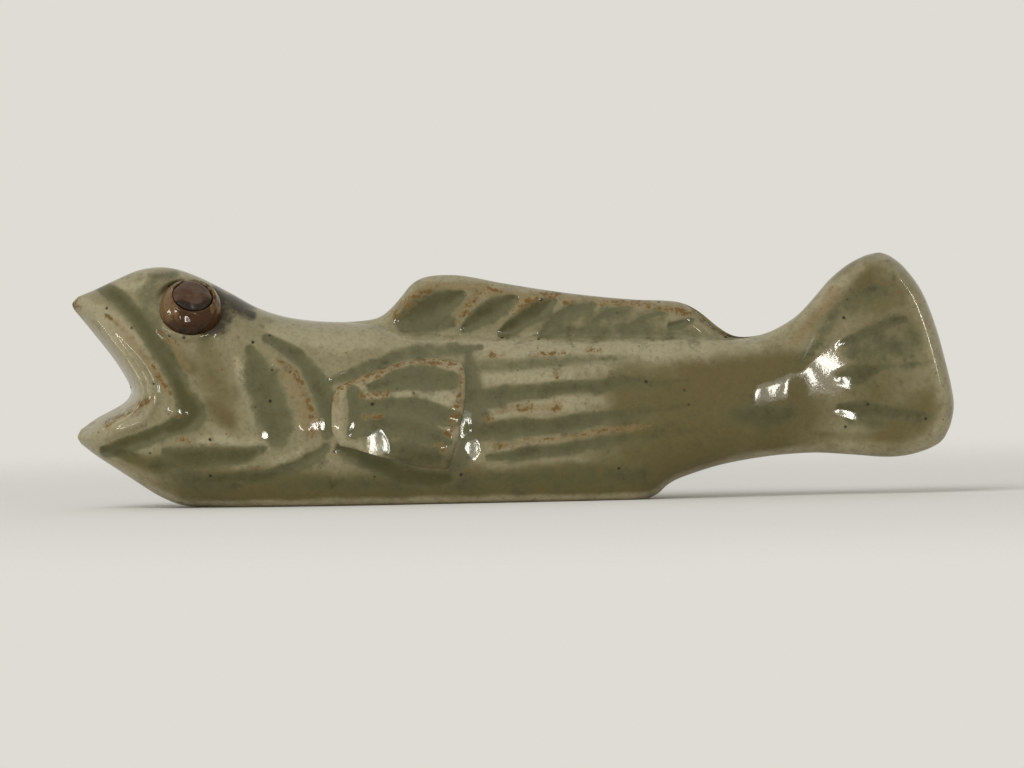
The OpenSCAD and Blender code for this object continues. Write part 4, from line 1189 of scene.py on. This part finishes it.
class FISHREST_OT_eyes(bpy.types.Operator):
    """Eye pellets with a rolled rim, pressed into the head"""

    bl_idname = "fishrest.eyes"
    bl_label = "Eyes"

    def execute(self, context):
        side = SideView()
        left = self.left_eye(side)
        right = copy_to_other_side(left, "amber_eye_right")
        glazed = amber_glaze()
        for obj, node in ((left, "eye_left"), (right, "eye_right")):
            self.paint_ring(obj, side)
            finish_piece(obj, [glazed], "iron_amber_glaze", node)
        return {"FINISHED"}

    def left_eye(self, side):
        """A turned pellet, squeezed a little out of round and pressed down in front."""
        radius, crown, floor = side.eye.radius, side.crown, side.hollow_floor
        profile = [
            (0, floor), (crown * 0.5, floor), (crown * 0.75, floor + 0.01 * MM),
            (crown - 0.36 * MM, floor + 0.06 * MM)]
        profile += [(crown + out * MM, side.eye.height + up * MM) for out, up in EYE_RIM_STEPS]
        for angle in np.radians(EYE_WALL_ANGLES):
            profile.append((radius * math.cos(angle), radius * math.sin(angle)))
        profile += [(radius * 0.5, -radius * 0.68), (0, -radius * 0.7)]
        eye = turned_piece("amber_eye_left", profile, 84)
        co = points_of(eye)
        out = np.hypot(co[:, 0], co[:, 1])
        hand = uneven(co[:, :2] + co[:, 2:], 3.5 * MM, 17)
        squeeze = 1 + 0.012 * hand * ease(out, 0.5 * crown, crown)
        back = 1 + 0.09 * ease(-co[:, 0], 0, 2 * MM)
        move_points(eye, co * np.column_stack((squeeze * back, squeeze * 1.03, np.ones(len(co)))))
        place_on_seat(eye, side)
        co = points_of(eye)
        front = co[:, 1] < -side.eye_depth - 1 * MM
        co[front, 1] = drops(co[front][:, [0, 2]], co[front, 1], EYE_DROPS)
        move_points(eye, co)
        return eye

    def paint_ring(self, obj, side):
        """Stores where the glaze has run thin or thick, painted shade in the crevice under the pupil, and
        the pale line on the crest's upper side.
        """
        crown, co = side.crown, points_of(obj)
        x, z = ((co[:, [0, 2]] - side.eye_place) / side.eye.radius).T
        own, out = own_axes(side, co)
        inside = 1 - ease(out, crown - 0.2 * MM, crown + 0.1 * MM)
        low = 1 - ease(z, -0.95, -0.15)
        below = ease(own[:, 1], -0.6 * crown, 0.5 * crown)
        # Thick glaze low on the ring; on the hollow's wall a darkening that grows to its lower side is
        # painted shade of the crevice under the pupil
        paint(obj, "thick", np.maximum(between(0.1, 0.9, below) * inside, 0.9 * low))
        front = ease(-x, 0.2, 0.7) * ease(z, -0.5, 0.0)
        rear = 0.65 * ease(x, 0.4, 0.9) * ease(z, -0.3, 0.1)
        paint(obj, "thin", (1 - inside) * np.maximum(front, rear))
        # Pale line on the crest's upper side: thin glaze, with a painted highlight where the rim's top
        # catches the light
        crest = 1 - np.clip(np.abs(out - crown - 0.06 * MM) / (0.2 * MM), 0, 1) ** 2
        paint(obj, "crest", 0.55 * crest * ease(z, 0.35, 0.8) * (own[:, 2] > 0))


class FISHREST_OT_pupils(bpy.types.Operator):
    """Domed dark discs that lie in the hollows of the eyes"""

    bl_idname = "fishrest.pupils"
    bl_label = "Pupils"

    def execute(self, context):
        side = SideView()
        inner, floor = side.crown - 0.08 * MM, side.hollow_floor
        profile = [(inner * out, floor + up * MM) for out, up in PUPIL_DOME]
        left = turned_piece("iron_pupil_left", profile, 48)
        co = points_of(left)
        slump = 0.14 * MM * ease(co[:, 1], 0.5 * inner, inner)
        co[:, 2] += 0.08 * MM * uneven(co[:, :2], 1.7 * MM, 21) - slump
        co[:, :2] *= (0.97 + 0.03 * np.clip(uneven(co[:, :2], 2.5 * MM, 23), -1, 1))[:, None]
        move_points(left, co)
        place_on_seat(left, side)
        right = copy_to_other_side(left, "iron_pupil_right")
        glazed = iron_glaze()
        for obj, node in ((left, "pupil_left"), (right, "pupil_right")):
            own, out = own_axes(side, points_of(obj))
            # Darker round the pupil's edge, and painted shade as a dark crescent in the crevice at its
            # lower edge
            below = ease(own[:, 1], 0, 0.6 * inner) * ease(out, 0.5 * inner, 0.8 * inner)
            paint(obj, "thick", np.maximum(0.2 * ease(out, 0.7 * inner, inner), below))
            finish_piece(obj, [glazed], "iron_dark_glaze", node)
        return {"FINISHED"}


def add(tree, kind, inputs=None, out=None, **options):
    """Adds a shader node with its options and inputs, and returns it or one of its outputs.

    An input is a plain value, or an output of another node that is linked to it.
    """
    node = tree.nodes.new(kind)
    for key, value in options.items():
        setattr(node, key, value)
    for key, value in (inputs or {}).items():
        if isinstance(value, bpy.types.NodeSocket):
            tree.links.new(value, node.inputs[key])
        else:
            node.inputs[key].default_value = value
    return node if out is None else node.outputs[out]


def new_material(name):
    """An empty material, and the object coordinates in millimetres."""
    material = bpy.data.materials.new(name)
    material.use_nodes = True
    tree = material.node_tree
    tree.nodes.clear()
    coordinates = add(tree, "ShaderNodeTexCoord", out="Object")
    mm = add(tree, "ShaderNodeMapping", {"Vector": coordinates, "Scale": (1 / MM,) * 3}, "Vector")
    return material, tree, mm


def glaze(name):
    """A colour of the glazes or the clay as a node takes it."""
    return (*getattr(settings("glaze_colours"), name), 1)


class Finish:
    """A ceramic finish in the making: its patterns by name, and the shade laid so far."""

    def __init__(self, name, base, **patterns):
        """A base glaze, and patterns by their size in millimetres, detail and roughness."""
        self.material, self.tree, self.mm = new_material(name)
        self.shade, self.patterns = glaze(base), {}
        for key, (size, detail, rough) in patterns.items():
            inputs = {"Vector": self.mm, "Scale": 1 / size, "Detail": detail, "Roughness": rough}
            self.patterns[key] = add(self.tree, "ShaderNodeTexNoise", inputs, "Fac")

    def cover(self, colour_name, amount):
        """Lays a colour over the shade by an amount from 0 to 1."""
        inputs = {"Factor": amount, 6: self.shade, 7: glaze(colour_name)}
        self.shade = add(self.tree, "ShaderNodeMix", inputs, 2, data_type="RGBA")

    def coat(self, painted, colour_name, pattern, spread, low, high, most=1.0):
        """Lays a colour that starts at a low painted value and reaches its most at a high one.

        The pattern makes the coat's edge uneven by the spread. Without a painted value, the pattern
        alone says where the coat lies.
        """
        tree, where = self.tree, 0.0
        if painted:
            where = add(tree, "ShaderNodeAttribute", None, "Fac", attribute_name=painted)
        inputs = {0: self.patterns[pattern], 1: spread, 2: where}
        reach = add(tree, "ShaderNodeMath", inputs, 0, operation="MULTIPLY_ADD")
        low, high = low + spread / 2, high + spread / 2
        inputs = {"Value": reach, "From Min": low, "From Max": high, "To Max": most}
        amount = add(tree, "ShaderNodeMapRange", inputs, 0, interpolation_type="SMOOTHSTEP")
        self.cover(colour_name, amount)

    def specks(self, colour_name, spacing, size, share, most):
        """Lays ragged specks of a size on a share of places that lie a spacing apart, in millimetres."""
        tree, radius = self.tree, size / spacing
        cells = add(tree, "ShaderNodeTexVoronoi", {"Vector": self.mm, "Scale": 1 / spacing})
        inputs = {"Vector": self.mm, "Scale": 1 / size, "Detail": 2.0}
        ragged = add(tree, "ShaderNodeTexNoise", inputs, "Fac")
        inputs = {0: ragged, 1: 0.6 * radius, 2: cells.outputs["Distance"]}
        away = add(tree, "ShaderNodeMath", inputs, 0, operation="MULTIPLY_ADD")
        inputs = {"Value": away, "From Min": radius, "From Max": 0.6 * radius, "To Max": most}
        near = add(tree, "ShaderNodeMapRange", inputs, 0)
        tone = add(tree, "ShaderNodeSeparateColor", {"Color": cells.outputs["Color"]}, "Red")
        chosen = add(tree, "ShaderNodeMath", {0: tone, 1: share}, 0, operation="LESS_THAN")
        amount = add(tree, "ShaderNodeMath", {0: near, 1: chosen}, 0, operation="MULTIPLY")
        self.cover(colour_name, amount)

    def fire(self, relief, height, **skin):
        """Ends the finish with the relief of its skin, of a height in millimetres, and how it shines."""
        inputs = {"Height": relief, "Strength": 1.0, "Distance": height * MM}
        bump = add(self.tree, "ShaderNodeBump", inputs, "Normal")
        inputs = {key.replace("_", " "): value for key, value in skin.items()}
        inputs |= {"Base Color": self.shade, "Normal": bump}
        shader = add(self.tree, "ShaderNodeBsdfPrincipled", inputs, "BSDF")
        add(self.tree, "ShaderNodeOutputMaterial", {"Surface": shader})
        return self.material


def celadon_glaze():
    """Celadon: a glossy, transparent iron glaze over stoneware.

    It is cream where it is thin on ridges, green where it has pooled in carved lines and olive where it
    lies thick. Iron breaks through as rust on sharp edges and as dark specks. Its skin has a faint
    orange-peel ripple, which breaks up the reflections. The grain stands for bubbles in the glaze, which
    are too fine to show and are drawn several times as coarse.
    """
    finish = Finish(
        "celadon_glaze_on_stoneware", "body", cloud=(6.0, 3.0, 0.55), mottle=(1.6, 5.0, 0.65),
        crust=(0.55, 4.0, 0.7), grain=(0.45, 3.0, 0.65), swell=(1.6, 1.0, 0.5), peel=(0.3, 1.0, 0.5))
    for coat in CELADON_COATS:
        finish.coat(*coat)
    finish.specks("rust", spacing=1.1, size=0.2, share=0.5, most=0.75)
    finish.specks("speck", spacing=2.0, size=0.32, share=0.5, most=1.0)
    finish.coat(None, "deep_and_shade", "grain", 2.4, -0.2, 0.6, 0.28)
    inputs = {0: finish.patterns["peel"], 1: 0.4, 2: finish.patterns["swell"]}
    ripple = add(finish.tree, "ShaderNodeMath", inputs, 0, operation="MULTIPLY_ADD")
    return finish.fire(ripple, 0.007, Roughness=0.07, IOR=1.5, Specular_IOR_Level=0.32)


def bare_stoneware():
    """Bare fired stoneware: dry, gritty and buff, with iron specks, where the foot was wiped."""
    finish = Finish("bare_stoneware_foot", "clay", cloud=(5.0, 2.0, 0.5), grit=(0.35, 4.0, 0.7))
    finish.coat(None, "tan", "cloud", 1.0, -0.2, 0.2)
    finish.coat(None, "olive", "grit", 1.0, -0.15, 0.2, 0.25)
    finish.specks("speck", spacing=2.0, size=0.25, share=0.4, most=1.0)
    return finish.fire(finish.patterns["grit"], 0.036, Roughness=0.85)


def amber_glaze():
    """Iron amber glaze on an eye: glassy, tan where thin, nearly black where thick; with painted shade
    under the pupil and a painted highlight on the crest.
    """
    finish = Finish("iron_amber_glaze", "brown", streak=(0.6, 4.0, 0.6), swell=(0.9, 2.0, 0.5))
    finish.coat("thin", "amber", "streak", 3.4, 0.15, 0.8, 0.95)
    # Nearly black where the glaze lies thick, and painted shade in the crevice under the pupil
    finish.coat("thick", "dark_amber", "streak", 2.6, 0.1, 0.9, 0.95)
    # Pale crest: thin glaze, with a painted highlight on its upper side
    finish.coat("crest", "cream", "streak", 1.2, 0.25, 0.9, 0.95)
    return finish.fire(finish.patterns["swell"], 0.02, Roughness=0.07, IOR=1.52, Specular_IOR_Level=0.26)


def iron_glaze():
    """Dark iron glaze of a pupil: satin and purple-brown, with a dry, crystalline skin."""
    finish = Finish("iron_dark_glaze", "pupil", cloud=(0.9, 4.0, 0.6), crystal=(0.35, 3.0, 0.5))
    finish.coat(None, "brown", "cloud", 1.0, -0.12, 0.12, 0.8)
    # Darker round the pupil's edge, and painted shade in the crevice at its lower edge
    finish.coat("thick", "dark_amber", "cloud", 0.8, 0.2, 0.9, 0.95)
    return finish.fire(finish.patterns["crystal"], 0.03, Roughness=0.3, IOR=1.5, Specular_IOR_Level=0.3)


def floor_paper():
    """Pale matt paper that fades into the backdrop away from the fish."""
    material, tree, mm = new_material("pale_paper_floor")
    far = add(tree, "ShaderNodeVectorMath", {0: mm}, "Value", operation="LENGTH")
    inputs = {"Value": far, "From Min": FLOOR_FADE[0], "From Max": FLOOR_FADE[1]}
    faded = add(tree, "ShaderNodeMapRange", inputs, 0, interpolation_type="SMOOTHSTEP")
    floor = (*settings("studio_settings").floor, 1)
    inputs = {"Base Color": floor, "Roughness": 0.9, "Specular IOR Level": 0.2}
    paper = add(tree, "ShaderNodeBsdfPrincipled", inputs, "BSDF")
    clear = add(tree, "ShaderNodeBsdfTransparent", None, "BSDF")
    mixed = add(tree, "ShaderNodeMixShader", {0: faded, 1: paper, 2: clear}, 0)
    add(tree, "ShaderNodeOutputMaterial", {"Surface": mixed})
    return material


def lamp(name, at, size, watts, hex_colour, glossy=True):
    """A rectangular lamp that looks at the middle of the fish."""
    data = bpy.data.lights.new(name, "AREA")
    data.shape = "RECTANGLE"
    data.size, data.size_y = size
    data.energy = watts
    data.color = linear(hex_colour)
    obj = bpy.data.objects.new(name, data)
    bpy.context.scene.collection.objects.link(obj)
    obj.location = at
    obj.rotation_euler = (Vector(LAMP_TARGET) - Vector(at)).to_track_quat("-Z", "Y").to_euler()
    obj.visible_glossy = glossy
    obj.visible_camera = False


class FISHREST_OT_stage(bpy.types.Operator):
    """Pale floor, window light, soft light and the camera"""

    bl_idname = "fishrest.stage"
    bl_label = "Stage"

    def execute(self, context):
        studio = settings("studio_settings")
        self.make_floor()
        self.make_lights(studio)
        self.make_world(context.scene, studio)
        self.make_camera(context.scene, studio)
        context.scene.view_settings.view_transform = "Standard"
        return {"FINISHED"}

    def make_floor(self):
        deselect()
        bpy.ops.mesh.primitive_circle_add(vertices=96, radius=0.5, fill_type="NGON", location=(0, 0, 0))
        floor = bpy.context.object
        floor.name = floor.data.name = "paper_floor"
        floor.data.materials.append(floor_paper())

    def make_lights(self, studio):
        for name, (azimuth, rise, width, height, share) in WINDOWS.items():
            angle = math.radians(azimuth)
            at = (math.sin(angle), -math.cos(angle), rise)
            lamp(name, at, (width, height), share * studio.window_power, "#FFFBF2")
        lamp("soft_sky", (-0.40, -0.50, 0.70), (0.6, 0.6), studio.soft_power, "#FBFCFF", glossy=False)

    def make_world(self, scene, studio):
        """Even light from all round, and a plain backdrop for the camera, gloss and glass."""
        world = bpy.data.worlds.new("pale_room")
        scene.world = world
        world.use_nodes = True
        tree = world.node_tree
        tree.nodes.clear()
        path = add(tree, "ShaderNodeLightPath")
        seen = path.outputs["Is Camera Ray"]
        for other in ("Is Glossy Ray", "Is Transmission Ray"):
            seen = add(tree, "ShaderNodeMath", {0: seen, 1: path.outputs[other]}, 0, operation="MAXIMUM")
        backdrop = add(tree, "ShaderNodeBackground", {"Color": (*studio.backdrop, 1), "Strength": 1.0}, 0)
        inputs = {"Color": (*linear("#F4F3EE"), 1), "Strength": studio.ambient}
        room = add(tree, "ShaderNodeBackground", inputs, 0)
        mixed = add(tree, "ShaderNodeMixShader", {0: seen, 1: room, 2: backdrop}, 0)
        add(tree, "ShaderNodeOutputWorld", {"Surface": mixed})

    def make_camera(self, scene, studio):
        """A camera square to the left side, raised and rolled as the photograph is."""
        data = bpy.data.cameras.new("camera")
        camera = bpy.data.objects.new("camera", data)
        scene.collection.objects.link(camera)
        data.sensor_width = SENSOR_WIDTH
        data.lens = SENSOR_WIDTH * studio.distance / studio.scale
        data.clip_start, data.clip_end = 0.01, 10
        rise, roll = studio.elevation, studio.roll
        ahead = Vector((0, math.cos(rise), -math.sin(rise)))
        level_up = Vector((0, math.sin(rise), math.cos(rise)))
        right = Vector((math.cos(roll), 0, 0)) - level_up * math.sin(roll)
        up = Vector((math.sin(roll), 0, 0)) + level_up * math.cos(roll)
        turn = Matrix((right, up, -ahead)).transposed().to_4x4()
        camera.matrix_world = Matrix.Translation(Vector(PICTURE_MIDDLE) - ahead * studio.distance) @ turn
        scene.camera = camera


OPERATORS = (
    FISHREST_OT_body, FISHREST_OT_side_fins, FISHREST_OT_eyes, FISHREST_OT_pupils, FISHREST_OT_stage,
)
GROUPS = {
    "fish_sizes": FishSizes, "carving_sizes": CarvingSizes, "eye_sizes": EyeSizes,
    "glaze_colours": GlazeColours, "studio_settings": StudioSettings,
}


class FISHREST_PT_panel(bpy.types.Panel):
    """Sizes, colours and building steps of the chopstick rest"""

    bl_idname = "FISHREST_PT_panel"
    bl_label = "Fish Chopstick Rest"
    bl_space_type = "VIEW_3D"
    bl_region_type = "UI"
    bl_category = "Chopstick Rest"

    def draw(self, context):
        for name, group in GROUPS.items():
            box = self.layout.box()
            for key in group.__annotations__:
                box.prop(getattr(context.scene, name), key)
        for operator in OPERATORS:
            self.layout.operator(operator.bl_idname)


def register():
    for name, group in GROUPS.items():
        bpy.utils.register_class(group)
        setattr(bpy.types.Scene, name, bpy.props.PointerProperty(type=group))
    for cls in (*OPERATORS, FISHREST_PT_panel):
        bpy.utils.register_class(cls)


def unregister():
    for cls in reversed((*OPERATORS, FISHREST_PT_panel)):
        bpy.utils.unregister_class(cls)
    for name, group in GROUPS.items():
        delattr(bpy.types.Scene, name)
        bpy.utils.unregister_class(group)


def main():
    register()
    bpy.ops.fishrest.body()
    bpy.ops.fishrest.side_fins()
    bpy.ops.fishrest.eyes()
    bpy.ops.fishrest.pupils()
    bpy.ops.fishrest.stage()


if __name__ == "__main__":
    main()
